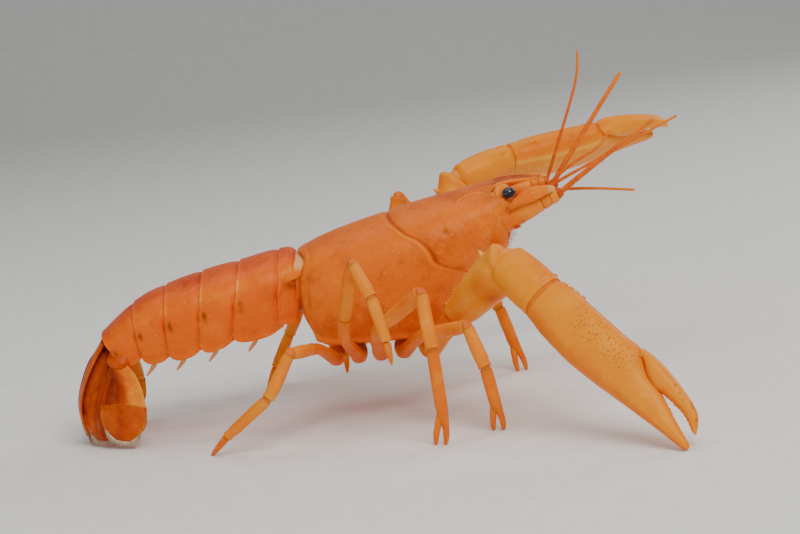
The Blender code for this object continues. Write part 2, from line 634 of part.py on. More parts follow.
def add_claw_arm(name):
    """Upper arm, wrist, palm with its fixed finger, and moving finger of one claw."""
    side = SIDES[name]
    hip, elbow, wrist, tip, face = ARMS[name]
    start = Vector((3.8, side * COXA_END[0], COXA_END[1]))
    out = Vector((0, side, -0.16)).normalized()
    upper_way = (elbow - hip).normalized()
    wrist_way = (wrist - elbow).normalized()
    axes = claw_axes(wrist, tip, face, side)
    bend = (upper_way + wrist_way).normalized()
    turn = (wrist_way + axes[0]).normalized()

    points = run(start + out * GAP, hip, (0, 0.3, 0.85)) + run(hip, elbow, (0.15, 0.5, 0.85))
    points.append(elbow - bend * GAP / 2)
    widths = (1.8, 1.7, 1.9, 2.6, 3.3, 3.8, 3.2)
    depths = (1.8, 1.7, 1.7, 2.1, 2.5, 2.8, 2.6)
    pieces = [limb(points, widths, depths, face, 12, out, bend)]
    wide = across(upper_way, face)[0]
    if wide.z < 0:
        wide = -wide
    for i in range(8):
        share = 0.08 + 0.1 * i
        reach = 2.2 + 1.5 * share
        root = hip.lerp(elbow, share) + wide * (reach - 0.5)
        pieces.append(thorn(root, root + wide * 1.15 + upper_way * 0.25, 0.42))
    root = hip.lerp(elbow, 0.86) + wide * 3.0
    pieces.append(thorn(root, root + wide * 1.9 + upper_way * 0.5, 0.6))
    add_node(f"claw_arm_{name}", fuse(pieces), "claw")

    points = [elbow + bend * GAP / 2] + run(elbow, wrist, (0.35, 0.65)) + [wrist - turn * GAP / 2]
    cuff = limb(points, (2.9, 3.8, 3.9, 3.3), (2.4, 3.1, 3.1, 2.5), face, 14, bend, turn)
    root = elbow.lerp(wrist, 0.78) + axes[1] * 2.9
    spur = thorn(root, root + axes[1] * 1.3 + wrist_way * 1.2, 0.6)
    add_node(f"claw_wrist_{name}", fuse([cuff, spur]), "claw")

    palm_root = wrist + axes[0] * GAP / 2
    fixed_stretch, moving_stretch = FINGER_STRETCH[name]
    palm = loft(claw_loft(PALM, palm_root, axes, 26, stretch=fixed_stretch))
    add_node(f"claw_palm_{name}", stand_on_floor(palm), "claw")
    finger = loft(claw_loft(FINGER, palm_root, axes, 14, 12, FINGER_SHUT[name], moving_stretch))
    add_node(f"claw_finger_{name}", stand_on_floor(finger), "claw")


def main():
    clear_scene()
    add_shells()
    add_chest()
    add_abdomen()
    add_tail_fan()
    add_eyes()
    add_feelers()
    add_maxillipeds()
    for name in SIDES:
        add_claw_arm(name)
        for pair in COXA_X:
            add_walking_leg(pair, name)


main()
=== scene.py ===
"""A cherax crayfish as a still, life-size model: its finish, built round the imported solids."""
import json
import math

import bmesh
import bpy
import numpy as np
from mathutils import Matrix, Vector, noise

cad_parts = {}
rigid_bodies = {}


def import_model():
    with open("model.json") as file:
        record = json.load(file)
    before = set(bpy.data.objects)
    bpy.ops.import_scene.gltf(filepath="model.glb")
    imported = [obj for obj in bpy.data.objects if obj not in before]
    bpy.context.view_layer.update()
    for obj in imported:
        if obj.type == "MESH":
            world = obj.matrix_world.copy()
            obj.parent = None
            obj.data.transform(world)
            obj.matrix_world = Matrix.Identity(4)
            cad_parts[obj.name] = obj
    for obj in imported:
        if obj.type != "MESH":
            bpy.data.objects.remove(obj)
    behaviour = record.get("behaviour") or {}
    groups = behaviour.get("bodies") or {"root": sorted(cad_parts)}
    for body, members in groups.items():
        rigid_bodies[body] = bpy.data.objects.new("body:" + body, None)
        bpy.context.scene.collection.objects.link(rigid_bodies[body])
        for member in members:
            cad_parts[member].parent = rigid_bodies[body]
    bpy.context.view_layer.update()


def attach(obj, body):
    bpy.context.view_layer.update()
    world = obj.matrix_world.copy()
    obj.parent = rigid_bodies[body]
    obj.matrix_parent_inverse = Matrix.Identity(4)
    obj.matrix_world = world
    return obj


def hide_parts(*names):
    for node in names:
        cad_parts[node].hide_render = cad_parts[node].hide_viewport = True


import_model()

# Carapace
# One horny plate stiffened with lime that sits over head and breast like a saddle. The
# cervical groove crosses it, the flat rostrum runs out of its front between the eyes, and its
# lower edges hang free over the gills. It is laid up as half a sheet and mirrored.
MM = 0.001
CENTRE = np.array([-2.45, -5.6, 0.0])
SIDES = {"R": -1, "L": 1}
MASKS = ("tone", "skin", "stain", "speck", "pit")
# Place along X, top, half width, height of the widest line, height and half width of the
# lower edge, rise of the hollow underneath
SHELL = (
    (-17.4, 30.2, 7.6, 23.6, 16.6, 6.7, 0.9), (-15.2, 31.2, 9.1, 23.2, 15.0, 8.1, 2.2),
    (-9.0, 33.2, 10.5, 23.2, 14.3, 9.4, 2.6), (-2.0, 34.8, 10.8, 23.8, 14.1, 9.5, 2.6),
    (4.0, 36.0, 10.4, 25.0, 14.5, 8.7, 2.4), (9.0, 36.9, 9.6, 27.2, 18.4, 7.6, 1.4),
    (13.5, 37.7, 8.4, 30.2, 23.6, 6.4, 0.9), (17.9, 38.3, 7.0, 33.0, 28.6, 5.4, 0.6),
)
# Place along X, top, half width, thickness
ROSTRUM = ((16.0, 38.0, 4.2, 1.6), (18.3, 38.5, 3.3, 1.7), (21.0, 38.7, 2.8, 1.5),
           (24.5, 38.4, 2.0, 1.1), (27.0, 37.9, 0.7, 0.7))
# Height and place along X of the cervical groove
GROOVE = ((20.0, 16.3), (24.9, 10.1), (26.1, 7.2), (28.6, 5.6), (30.7, 3.8), (31.8, 1.9), (33.0, 0.4),
          (35.3, -1.6), (37.0, -2.0))
REAR, FRONT, ROSTRUM_ROOT, ROSTRUM_TIP = -17.4, 17.9, 18.3, 27.0
ARC, FLANK, SOLE, ROSTRUM_COLUMNS = 72, 30, 9, 20
BODY_ROWS, FACE_ROWS, ROSTRUM_ROWS = 230, 16, 66


def stations(table, places, beyond=False):
    """Values of a table at many places, on smooth curves through its rows."""
    table = np.array(table, float)
    x = table[:, 0]
    places = np.asarray(places, float) if beyond else np.clip(places, x[0], x[-1])
    i = np.clip(np.searchsorted(x, places) - 1, 0, len(x) - 2)
    slopes, table = np.gradient(table, x, axis=0)[:, 1:], table[:, 1:]
    span = (x[i + 1] - x[i])[..., None]
    t = (places - x[i])[..., None] / span
    start = (2 * t**3 - 3 * t**2 + 1) * table[i] + (t**3 - 2 * t**2 + t) * span * slopes[i]
    return start + ((3 * t**2 - 2 * t**3) * table[i + 1] + (t**3 - t**2) * span * slopes[i + 1])


def ease(value, low, high):
    """0 at low, 1 at high and a smooth change between, also where low is above high."""
    t = np.clip((value - low) / (high - low), 0, 1)
    return t * t * (3 - 2 * t)


def bell(value, middle, width):
    return np.exp(-(((value - middle) / width) ** 2))


def bulge(value, power):
    """A swing from -1 to 1 made fuller or flatter, with its sign kept."""
    return np.sign(value) * np.abs(value) ** power


def half_dome(arc, flank, sole, fold, *sizes):
    """Side and height of half a domed shell, from the ridge round its widest line and lower edge
    to the middle of its hollow. The sizes hold one row for each row of points."""
    shape = (len(sizes[0]), arc + flank + sole)
    cut = [np.split(np.broadcast_to(size, shape), (arc, arc + flank), 1) for size in sizes]
    top, half, wide, low, foot, hollow = cut
    turn = np.radians(np.linspace(90, 0, arc))
    b, s = np.linspace(0, 1, flank + 1)[1:], np.linspace(0, 1, sole)
    c = 1 - b
    side = [half[0] * np.cos(turn).clip(0) ** 0.84,
            half[1] * (c**3 + 3 * b * c**2) + (4 * half[1] + 5 * foot[1]) / 3 * b * b * c + foot[1] * b**3,
            foot[2] * (1 - s) ** fold[0] - fold[1] * np.sin(np.pi * np.minimum(s * 2, 1))]
    up = [wide[0] + (top[0] - wide[0]) * np.sin(turn).clip(0) ** 0.92,
          low[1] + (wide[1] - low[1]) * (c**3 + 1.95 * b * c**2 + 1.05 * b * b * c),
          low[2] + hollow[2] * ease(s, 0.02, 0.5)]
    side, up = np.concatenate(side, 1), np.concatenate(up, 1)
    side[:, (0, -1)] = 0
    return side, up


def rostrum_half(x):
    """Points of the same columns at places x, wrapped round the rostrum instead."""
    top, half, thick = np.moveaxis(stations(ROSTRUM, x), -1, 0)
    turn = np.radians(np.concatenate((np.linspace(90, 0, ROSTRUM_COLUMNS),
                                      np.linspace(0, -90, x.shape[1] - ROSTRUM_COLUMNS + 1)[1:])))
    side = half * np.cos(turn).clip(0) ** 0.72
    trough = 0.34 * ease(side / half, 0.8, 0.35) - 0.1 * bell(side / half, 0.86, 0.12)
    height = top - thick / 2 + thick / 2 * bulge(np.sin(turn), 0.6) - np.where(turn > 0, trough, 0)
    side[:, (0, -1)] = 0
    return np.stack((x, side, height), -1)


def carapace_sheet():
    """Half of the shell as a grid of points, rows from the rear lining to the rostrum's tip."""
    c = np.arange(ARC + FLANK + SOLE)
    arc, below, on_top = 90 * (1 - c / (ARC - 1)), np.clip((c - ARC) / FLANK, 0, 1), c < ROSTRUM_COLUMNS
    rear = REAR + 1.1 * bell(arc, 52, 20) + 1.7 * ease(below, 0.45, 1.0)
    orbit = 1.15 * bell(arc, 50, 9)
    front = FRONT - np.where(on_top, 0.9, orbit) + 0.6 * ease(below, 0.3, 0.8) + 1.15 * ease(arc, 42, 22)
    x = rear + (front - rear) * np.linspace(0, 1, BODY_ROWS)[:, None]
    sizes = np.moveaxis(stations(SHELL, x, beyond=True), -1, 0)
    body = np.stack((x, *half_dome(ARC, FLANK, SOLE, (1.6, 0.25), *sizes)), -1)

    # The rear edge turns in and lines the shell for a little way before it closes
    lining = []
    for inward, shrink in ((5.0, 0.0), (4.0, 0.45), (3.4, 0.8), (2.2, 0.935), (0.5, 0.95), (0.06, 0.97),
                           (-0.05, 0.985)):
        row = (0, 0, 24) + (body[0] - (0, 0, 24)) * shrink
        row[:, 0] = body[0, :, 0] + inward
        lining.append(row)

    # The front edge turns in below the rostrum as the face, while the top runs on forward
    root = rostrum_half(np.full((1, len(c)), ROSTRUM_ROOT))[0]
    root[:, 0] = np.where(on_top, ROSTRUM_ROOT, 16.4)
    face = []
    for b in np.linspace(0, 1, FACE_ROWS + 1)[1:]:
        row = body[-1] + (root - body[-1]) * b
        row[:, 0] -= np.where(on_top, 0, 1.5 * math.sin(math.pi * b**0.55) - 0.2 * bell(b, 0.07, 0.05))
        face.append(row)
    prow = rostrum_half(root[:, 0] + (ROSTRUM_TIP - root[:, 0]) * np.linspace(0, 1, ROSTRUM_ROWS)[1:, None])
    tip = []
    for b in (0.4, 0.7, 0.9, 1.0):
        shrink = math.sqrt(1 - b * b)
        row = (0, 0, 37.55) + (prow[-1] - (0, 0, 37.55)) * (1, shrink, shrink)
        tip.append(row + (0.45 * b, 0, 0.1 * b))
    return np.concatenate((lining, body, face, prow, tip))


def grid_faces(rows, columns, wrap=False):
    """Quads of a grid of points, counted row by row."""
    i, j = np.meshgrid(np.arange(rows - 1), np.arange(columns if wrap else columns - 1), indexing="ij")
    a, b = i * columns + j, i * columns + (j + 1) % columns
    return np.stack((a, b, b + columns, a + columns), -1).reshape(-1, 4).tolist()


def part(points, faces, **paint):
    """Points, faces and painted masks of one closed skin, each mask 0 where it isn't given."""
    masks = [np.broadcast_to(np.ravel(paint.get(name, 0.0)), len(points)) for name in MASKS]
    return points, faces, np.stack(masks, 1).astype(float)


def joined(parts):
    """Several skins as one, each left closed in itself."""
    points, faces, masks = zip(*parts)
    starts = [0, *np.cumsum([len(some) for some in points]).tolist()]
    faces = [[i + start for i in face] for start, some in zip(starts, faces) for face in some]
    return np.concatenate(points), faces, np.concatenate(masks)


def both_halves(points, faces, middle, **paint):
    """A half skin and its mirror image, which meet in the middle plane."""
    points[middle, 1] = 0.0
    backward = [face[::-1] for face in faces]
    return joined([part(points, faces, **paint), part(points * (1, -1, 1), backward, **paint)])


def closed(rings, **paint):
    """A skin through rings of points, closed by a point at either end."""
    rows, sides = rings.shape[:2]
    points = np.concatenate((rings.reshape(-1, 3), [rings[0].mean(0)], [rings[-1].mean(0)]))
    faces, last = grid_faces(rows, sides, True), rows * sides + 1
    for j in range(sides):
        k = (j + 1) % sides
        faces += [[last - 1, k, j], [last, last - 1 - sides + j, last - 1 - sides + k]]
    for name, values in paint.items():
        if np.ndim(values) == 2:
            paint[name] = np.append(values, (values[0].mean(), values[-1].mean()))
    return part(points, faces, **paint)


def normals_of(points, faces):
    """Unit normals at the points of a skin of quads."""
    quads = np.array(faces)
    out = np.cross(points[quads[:, 2]] - points[quads[:, 0]], points[quads[:, 3]] - points[quads[:, 1]])
    found = np.zeros_like(points)
    for k in range(4):
        np.add.at(found, quads[:, k], out)
    return found / (np.linalg.norm(found, axis=1, keepdims=True) + 1e-12)


def rough(points, size, seed=0.0):
    """Soft noise from -1 to 1 at each point, with hollows about size millimetres apart."""
    shift = Vector((seed, seed, seed))
    spots = points.reshape(-1, 3).tolist()
    return np.reshape([noise.noise(Vector(spot) / size + shift) for spot in spots], points.shape[:-1])


def show(name, mesh, nodes=()):
    """Puts a finished mesh in the scene, riding on the root and standing for its solids."""
    obj = bpy.data.objects.new(name, mesh)
    bpy.context.scene.collection.objects.link(obj)
    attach(obj, "root")
    if nodes:
        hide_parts(*nodes)


def make_piece(name, skins, finish, nodes=(), smooth_angle=60):
    """One piece of closed skins in one finish."""
    points, faces, masks = joined(skins)
    mesh = bpy.data.meshes.new(name)
    mesh.from_pydata(((points - CENTRE) * MM).tolist(), [], faces)
    for mask, values in zip(MASKS, masks.T):
        if values.any():
            mesh.attributes.new(mask, "FLOAT", "POINT").data.foreach_set("value", values.astype(np.float32))
    work = bmesh.new()
    work.from_mesh(mesh)
    bmesh.ops.remove_doubles(work, verts=work.verts, dist=2e-6)
    bmesh.ops.recalc_face_normals(work, faces=work.faces)
    work.to_mesh(mesh)
    work.free()
    mesh.materials.append(finish)
    mesh.shade_smooth()
    mesh.set_sharp_from_angle(angle=math.radians(smooth_angle))
    show(name, mesh, nodes)


class Nodes:
    """Adds nodes to a tree. Each call gives one output of the new node."""

    def __init__(self, tree):
        self.tree = tree

    def __call__(self, kind, inputs=None, out=0, **settings):
        made = self.tree.nodes.new(kind)
        for key, value in settings.items():
            setattr(made, key, value)
        self.feed(made, inputs or {})
        return made.outputs[out]

    def feed(self, node, inputs):
        """Sets inputs of a node to values, or links them to other nodes' outputs."""
        for key, value in inputs.items():
            if isinstance(value, bpy.types.NodeSocket):
                self.tree.links.new(value, node.inputs[key])
            else:
                node.inputs[key].default_value = value

    def sums(self, how, *values):
        return self("ShaderNodeMath", dict(enumerate(values)), operation=how)

    def sway(self, value, amount, base):
        """base, moved up and down by a pattern that swings about a half."""
        return self.sums("MULTIPLY_ADD", self.sums("SUBTRACT", value, 0.5), amount, base)

    def steps(self, value, low, high):
        """0 to 1 as value goes from low to high, also where low is above high."""
        return self("ShaderNodeMapRange", {"Value": value, "From Min": low, "From Max": high},
                    interpolation_type="SMOOTHSTEP")

    def blend(self, share, under, over):
        """A colour laid over another by share."""
        return self("ShaderNodeMix", {0: share, 6: under, 7: (*over, 1)}, 2, data_type="RGBA")

    def ramp(self, value, *stops):
        """Colours between stops, each given as its place, red, green and blue."""
        made = self("ShaderNodeValToRGB", {"Fac": value})
        band = made.node.color_ramp
        band.interpolation = "EASE"
        while len(band.elements) < len(stops):
            band.elements.new(1.0)
        for element, (place, *colour) in zip(band.elements, stops):
            element.position = place
            element.color = (*colour, 1)
        return made

    def mask(self, name):
        return self("ShaderNodeAttribute", out="Fac", attribute_name=name)

    def cloud(self, place, scale, detail, roughness=0.5):
        inputs = {"Vector": place, "Scale": scale, "Detail": detail, "Roughness": roughness}
        return self("ShaderNodeTexNoise", inputs, "Fac")

    def cells(self, place, scale, randomness=1.0):
        inputs = {"Vector": place, "Scale": scale, "Randomness": randomness}
        return self("ShaderNodeTexVoronoi", inputs, "Distance")

    def pick(self, cells, channel):
        """One random number for each cell of a pattern of cells."""
        return self("ShaderNodeSeparateColor", {"Color": cells.node.outputs["Color"]}, channel)

    def surface(self, colour, values, height=None, strength=0.75, depth=MM):
        """Gives the surface its colour, other values and relief."""
        if height is not None:
            bump = {"Height": height, "Strength": strength, "Distance": depth}
            values["Normal"] = self("ShaderNodeBump", bump)
        self.feed(self.tree.nodes["Principled BSDF"], {"Base Color": colour, **values})


def new_finish(name):
    """A material, its nodes, and the place on the model in millimetres."""
    finish = bpy.data.materials.new(name)
    finish.use_nodes = True
    nodes = Nodes(finish.node_tree)
    place = nodes("ShaderNodeTexCoord", out="Object")
    return finish, nodes, nodes("ShaderNodeMapping", {"Vector": place, "Scale": (1 / MM, 1 / MM, 1 / MM)})


CREAM, SKIN, BROWN, DEEP = (0.96, 0.52, 0.2), (0.94, 0.47, 0.17), (0.2, 0.03, 0.003), (0.46, 0.05, 0.002)
SPECK_SIZE = 0.13


def shell_finish(name, stops, gloss=0.42, mottle=0.1, pit_size=0.2, warmth=0.22, grain=1.0):
    """Horny shell: pigment by the painted tone, a mottle of pigment cells, brown stains and painted
    shade, pale granules, dark pits, cream skin, and a fine uneven surface under a thin wet coat."""
    finish, nodes, place = new_finish(name)
    sums, steps, blend = nodes.sums, nodes.steps, nodes.blend
    tone, skin, stain, speck, pit = (nodes.mask(key) for key in MASKS)
    patch, cells = nodes.cloud(place, 0.75, 5.0), nodes.cells(place, 3.2)
    tone = nodes.sway(patch, mottle * 3, nodes.sway(nodes.cloud(place, 0.16, 4.0), 0.5, tone))
    colour = nodes.ramp(nodes.sway(nodes.pick(cells, "Red"), mottle * 0.6, tone), *stops)

    pit = sums("MULTIPLY", steps(nodes.cells(place, 2.0, 0.95), pit_size * 1.5, pit_size * 0.8), pit)
    colour = blend(sums("MULTIPLY", pit, 0.6), colour, DEEP)
    # Brown where the shell is stained, and as painted shade in its hollows and grooves
    colour = blend(sums("MULTIPLY", stain, steps(patch, 0.2, 0.62)), colour, BROWN)
    dots = nodes.cells(place, 1.15)
    chosen = sums("LESS_THAN", nodes.pick(dots, "Green"), speck)
    speck = sums("MULTIPLY", steps(dots, SPECK_SIZE * 1.3, SPECK_SIZE * 0.6), chosen)
    colour = blend(sums("MULTIPLY", speck, 0.75), colour, CREAM)
    skin = sums("MULTIPLY", skin, steps(patch, -0.35, 0.45))

    fine = nodes.cloud(place, 5.5, 6.0, 0.62)
    height = sums("MULTIPLY", fine, 0.045 * grain)
    for relief, amount in ((patch, 0.06 * grain), (cells, 0.035 * grain), (pit, -0.09), (speck, 0.07)):
        height = sums("MULTIPLY_ADD", relief, amount, height)
    nodes.surface(blend(skin, colour, SKIN), {
        "Roughness": sums("MULTIPLY_ADD", skin, 0.12, nodes.sway(fine, 0.35, gloss)), "IOR": 1.46,
        "Specular IOR Level": 0.4, "Specular Tint": (1.0, 0.62, 0.3, 1), "Coat Weight": 0.05,
        "Coat Roughness": 0.22, "Subsurface Weight": warmth, "Subsurface Radius": (1.0, 0.36, 0.12),
        "Subsurface Scale": 1.6 * MM}, height)
    return finish


def groove_lift(points):
    """Height of the grooves, ridges and rims of the carapace, and its painted masks."""
    x, y, z = points.T
    side = np.abs(y)
    # The cervical groove leans forward as it comes down, and sags before it turns to the front
    off = (x - stations(GROOVE, z)[..., 0]) * 0.72
    strong = ease(z, 23.2, 26.0)
    lift = -0.26 * bell(off, 0.0, 0.26) * (0.35 + 0.65 * strong)
    lift += 0.2 * bell(off, -0.62, 0.34) * strong * (1 - 0.75 * ease(z, 32.0, 34.5))
    lift += 0.12 * ease(off, 0.2, 1.6) * ease(z, 24, 28) * ease(x, 13, 6)
    # Two close grooves run down the middle of the back behind it
    back = ease(x, REAR + 2, REAR + 5) * ease(x, -1.6, -3.2)
    spread = 1.25 + 1.5 * ease(x, -6.0, -1.0) ** 2 + 1.2 * ease(x, -9, -16)
    lift -= 0.17 * bell(side, spread, 0.3) * back * ease(z, 29, 31)
    # Ridge behind the orbit with its spine, and the ridges that run on as the rostrum's edges
    ridge = ease(x, 10.2, 11.2) * ease(x, 16.2, 15.4) * ease(z, 34, 35.5)
    crest = stations(((10.0, 6.3), (11.0, 5.45), (12.6, 4.4), (14.4, 4.35), (16.0, 4.95)), x)[..., 0]
    lift += 0.22 * bell(side, crest, 0.24) * ridge
    lift += 0.34 * bell(side, 3.45, 0.3) * ease(x, 11.5, 15.5) * ease(x, 18.4, 17.6) * ease(z, 36, 37)
    # Rims along the front, rear and lower edges, each with a groove inside it
    rim = np.minimum(z - stations(SHELL, x)[..., 3], 9)
    on_flank = ease(x, 18.2, 17.9)
    lift += (0.1 * bell(rim, 0.5, 0.35) - 0.12 * bell(rim, 1.25, 0.3)) * on_flank
    rear = REAR + 1.1 * bell(z, 29.3, 2.2) + 1.5 * ease(z, 19.0, 15.5)
    lift += 0.09 * bell(x, rear + 0.35, 0.3) - 0.08 * bell(x, rear + 1.15, 0.24)
    lift -= 0.1 * bell(x, 18.1, 0.25) * ease(z, 28, 30) * ease(z, 36, 34.6)
    # Muscle scars and dents on the cheek
    for place, height, wide, deep in (
            (8.4, 31.7, 0.5, 0.2), (9.6, 31.7, 0.35, -0.12), (12.8, 31.8, 0.5, -0.1),
            (10.3, 25.4, 0.8, 0.2), (14.2, 31.6, 0.7, -0.1), (13.0, 33.2, 1.1, -0.12)):
        lift -= deep * bell(x, place, wide) * bell(z, height, wide)
    soft = rough(points, 3.2, 4.0)
    cheek = ease(off, 0.6, 3.0) * ease(z, 37, 35)
    lift += 0.07 * soft + (0.018 + 0.04 * cheek) * rough(points, 0.95, 9.0)

    tone = 0.42 + 0.07 * soft
    tone += 0.16 * ease(off, 4.0, 11.0) * ease(z, 37, 34) - 0.05 * ease(z, 33.5, 36.5)
    tone -= 0.16 * ease(z, 25, 16) * ease(x, 8, 3)
    tone += 0.26 * bell(off, -0.65, 0.34) * strong * (1 - 0.6 * ease(z, 32, 34.5)) - 0.26 * bell(off, 0, 0.22)
    tone += 0.34 * bell(side, crest, 0.2) * ridge + 0.12 * bell(rim, 0.5, 0.4) * on_flank
    # The rostrum's edges are pale with a darker band inside them; below its edges the tone is lowered as
    # painted shade under the rostrum
    top, half, _ = stations(ROSTRUM, x).T
    edge = 0.4 * bell(side / half, 0.95, 0.05) - 0.26 * (side / half < 0.88)
    tone += ease(x, 16.4, 18.4) * (side < 5) * np.where(z < top - 0.75, -0.1, edge)
    # A net of pale lines over the front of the cheek
    net = (1 - np.abs(rough(points, 1.3, 21.0)) / 0.1).clip(0, 1)
    tone += 0.26 * net * ease(x, 11.0, 13.5) * ease(z, 25, 28) * ease(z, 35, 33) * on_flank
    stain = 0.65 * bell(x, 8.4, 0.55) * bell(z, 31.7, 0.3) + 0.5 * bell(x, 10.2, 1.2) * bell(z, 25.2, 0.5)
    # The cervical groove gets a brown line; the front of the shell round the eyes and the face turned in
    # under the rostrum are painted brown as shade in the eye sockets
    stain += 0.2 * bell(off, 0.05, 0.14) + 0.2 * ((x > 15.2) & (side < 6.6) & (z < 37.4) & (x < 17.3))
    speck = 0.2 * ease(off, -0.6, -2.5) * ease(z, 16, 20) * (1 - 0.5 * ease(z, 30, 34)) + 0.05
    return lift, {"tone": tone, "stain": stain, "speck": speck, "pit": 0.12 * cheek}


def carapace_skin():
    """The whole shell: half the sheet, raised where the shell is, and its mirror image."""
    grid = carapace_sheet()
    rows, columns = grid.shape[:2]
    points, faces = grid.reshape(-1, 3), grid_faces(rows, columns)
    lift, paint = groove_lift(points)
    row, column = (index.ravel() for index in np.indices((rows, columns)))
    shown = ease(row, 5.5, 8.5)
    lift = np.where((column >= ARC + FLANK + 2) | (points[:, 0] > 18.6), 0.25, 1.0) * lift * shown
    for mask in paint:
        paint[mask] = np.where(shown > 0, paint[mask], 0.3 if mask == "tone" else 0.0)
    middle = np.isin(column, (0, columns - 1)) | (row == 0)
    return both_halves(points - normals_of(points, faces) * lift[:, None], faces, middle, **paint)


def thorn(root, tip, radius, sides=10, rows=7, **paint):
    """A spine: a cone with a blunt point, whose foot is sunk in what it stands on."""
    root, tip = np.array(root, float), np.array(tip, float)
    aim = (tip - root) / np.linalg.norm(tip - root)
    first = np.cross(aim, (0, 0, 1) if abs(aim[2]) < 0.9 else (1, 0, 0))
    first /= np.linalg.norm(first)
    turn = 2 * np.pi * np.arange(sides) / sides
    ring = np.cos(turn)[:, None] * first + np.sin(turn)[:, None] * np.cross(aim, first)
    share = np.linspace(0, 1, rows)
    size = radius * (1 - share) ** 0.85 + radius * 0.14 * (1 - share**4)
    centres = root + (tip - root) * share[:, None]
    return closed(centres[:, None] + ring * size[:, None, None], **paint)


shell_stuff = shell_finish("carapace shell", (
    (0.0, 0.4, 0.04, 0.001), (0.25, 0.64, 0.095, 0.002), (0.45, 0.84, 0.165, 0.003), (0.7, 0.95, 0.24, 0.003),
    (1.0, 1.0, 0.42, 0.04)), gloss=0.4)
skins = [carapace_skin()]
for side in SIDES.values():
    skins.append(thorn((15.3, side * 4.75, 36.7), (16.3, side * 4.85, 37.1), 0.24, tone=0.62))
    for place, out, length in ((24.6, 1.85, 0.8), (25.9, 1.35, 0.7)):
        tip = (place + length, side * (out + 0.28), 38.35)
        skins.append(thorn((place, side * (out - 0.1), 38.1), tip, 0.26, tone=0.7))
make_piece("carapace", skins, shell_stuff, ["head_shell", "back_shell"])

# Abdomen
# Six hinged rings of shell. Each has a domed back plate whose rear rim slides over the smooth
# front of the next, and a rounded lobe hanging at either side. A soft pale skin joins them to
# each other and to the carapace.
# The ridge line and the line of the hinges, both as X and Z at each seam, and the half width
SOMITES = (
    (-17.8, 30.3, -18.2, 18.6, 7.3), (-20.5, 30.5, -21.8, 18.8, 8.3), (-27.4, 29.3, -29.6, 18.0, 8.9),
    (-34.1, 28.2, -35.5, 17.0, 8.7), (-40.7, 26.6, -41.2, 16.3, 8.2), (-46.8, 24.2, -46.0, 16.0, 7.6),
    (-53.2, 19.4, -49.4, 14.4, 6.9),
)
LOBE_DROPS = (0.2, 1.9, 2.0, 2.0, 1.9, 0.9)
# Share along a ring, how far its lobe hangs and how far it swells
RING_SHAPE = ((-0.2, 0.3), (0, 0.55), (0.2, 0.86), (0.5, 1.0), (0.8, 0.9), (0.95, 0.6), (1.04, 0.2),
              (1.1, 0.0))
SWELL = ((-0.2, 0.94), (0.0, 0.962), (0.2, 0.988), (0.5, 1.0), (0.8, 1.004), (1.0, 1.0), (1.1, 0.998))
PLATE_ROWS, PLATE_ARC, PLATE_FLANK, PLATE_SOLE = 64, 60, 26, 9


def somite(place):
    """Points on the ridge and hinge lines, and the half width, at a place counted in seams."""
    x, z, low_x, low_z, half = stations([(i, *row) for i, row in enumerate(SOMITES)], place).T
    return np.stack((x, 0 * x, z), -1), np.stack((low_x, 0 * x, low_z), -1), half


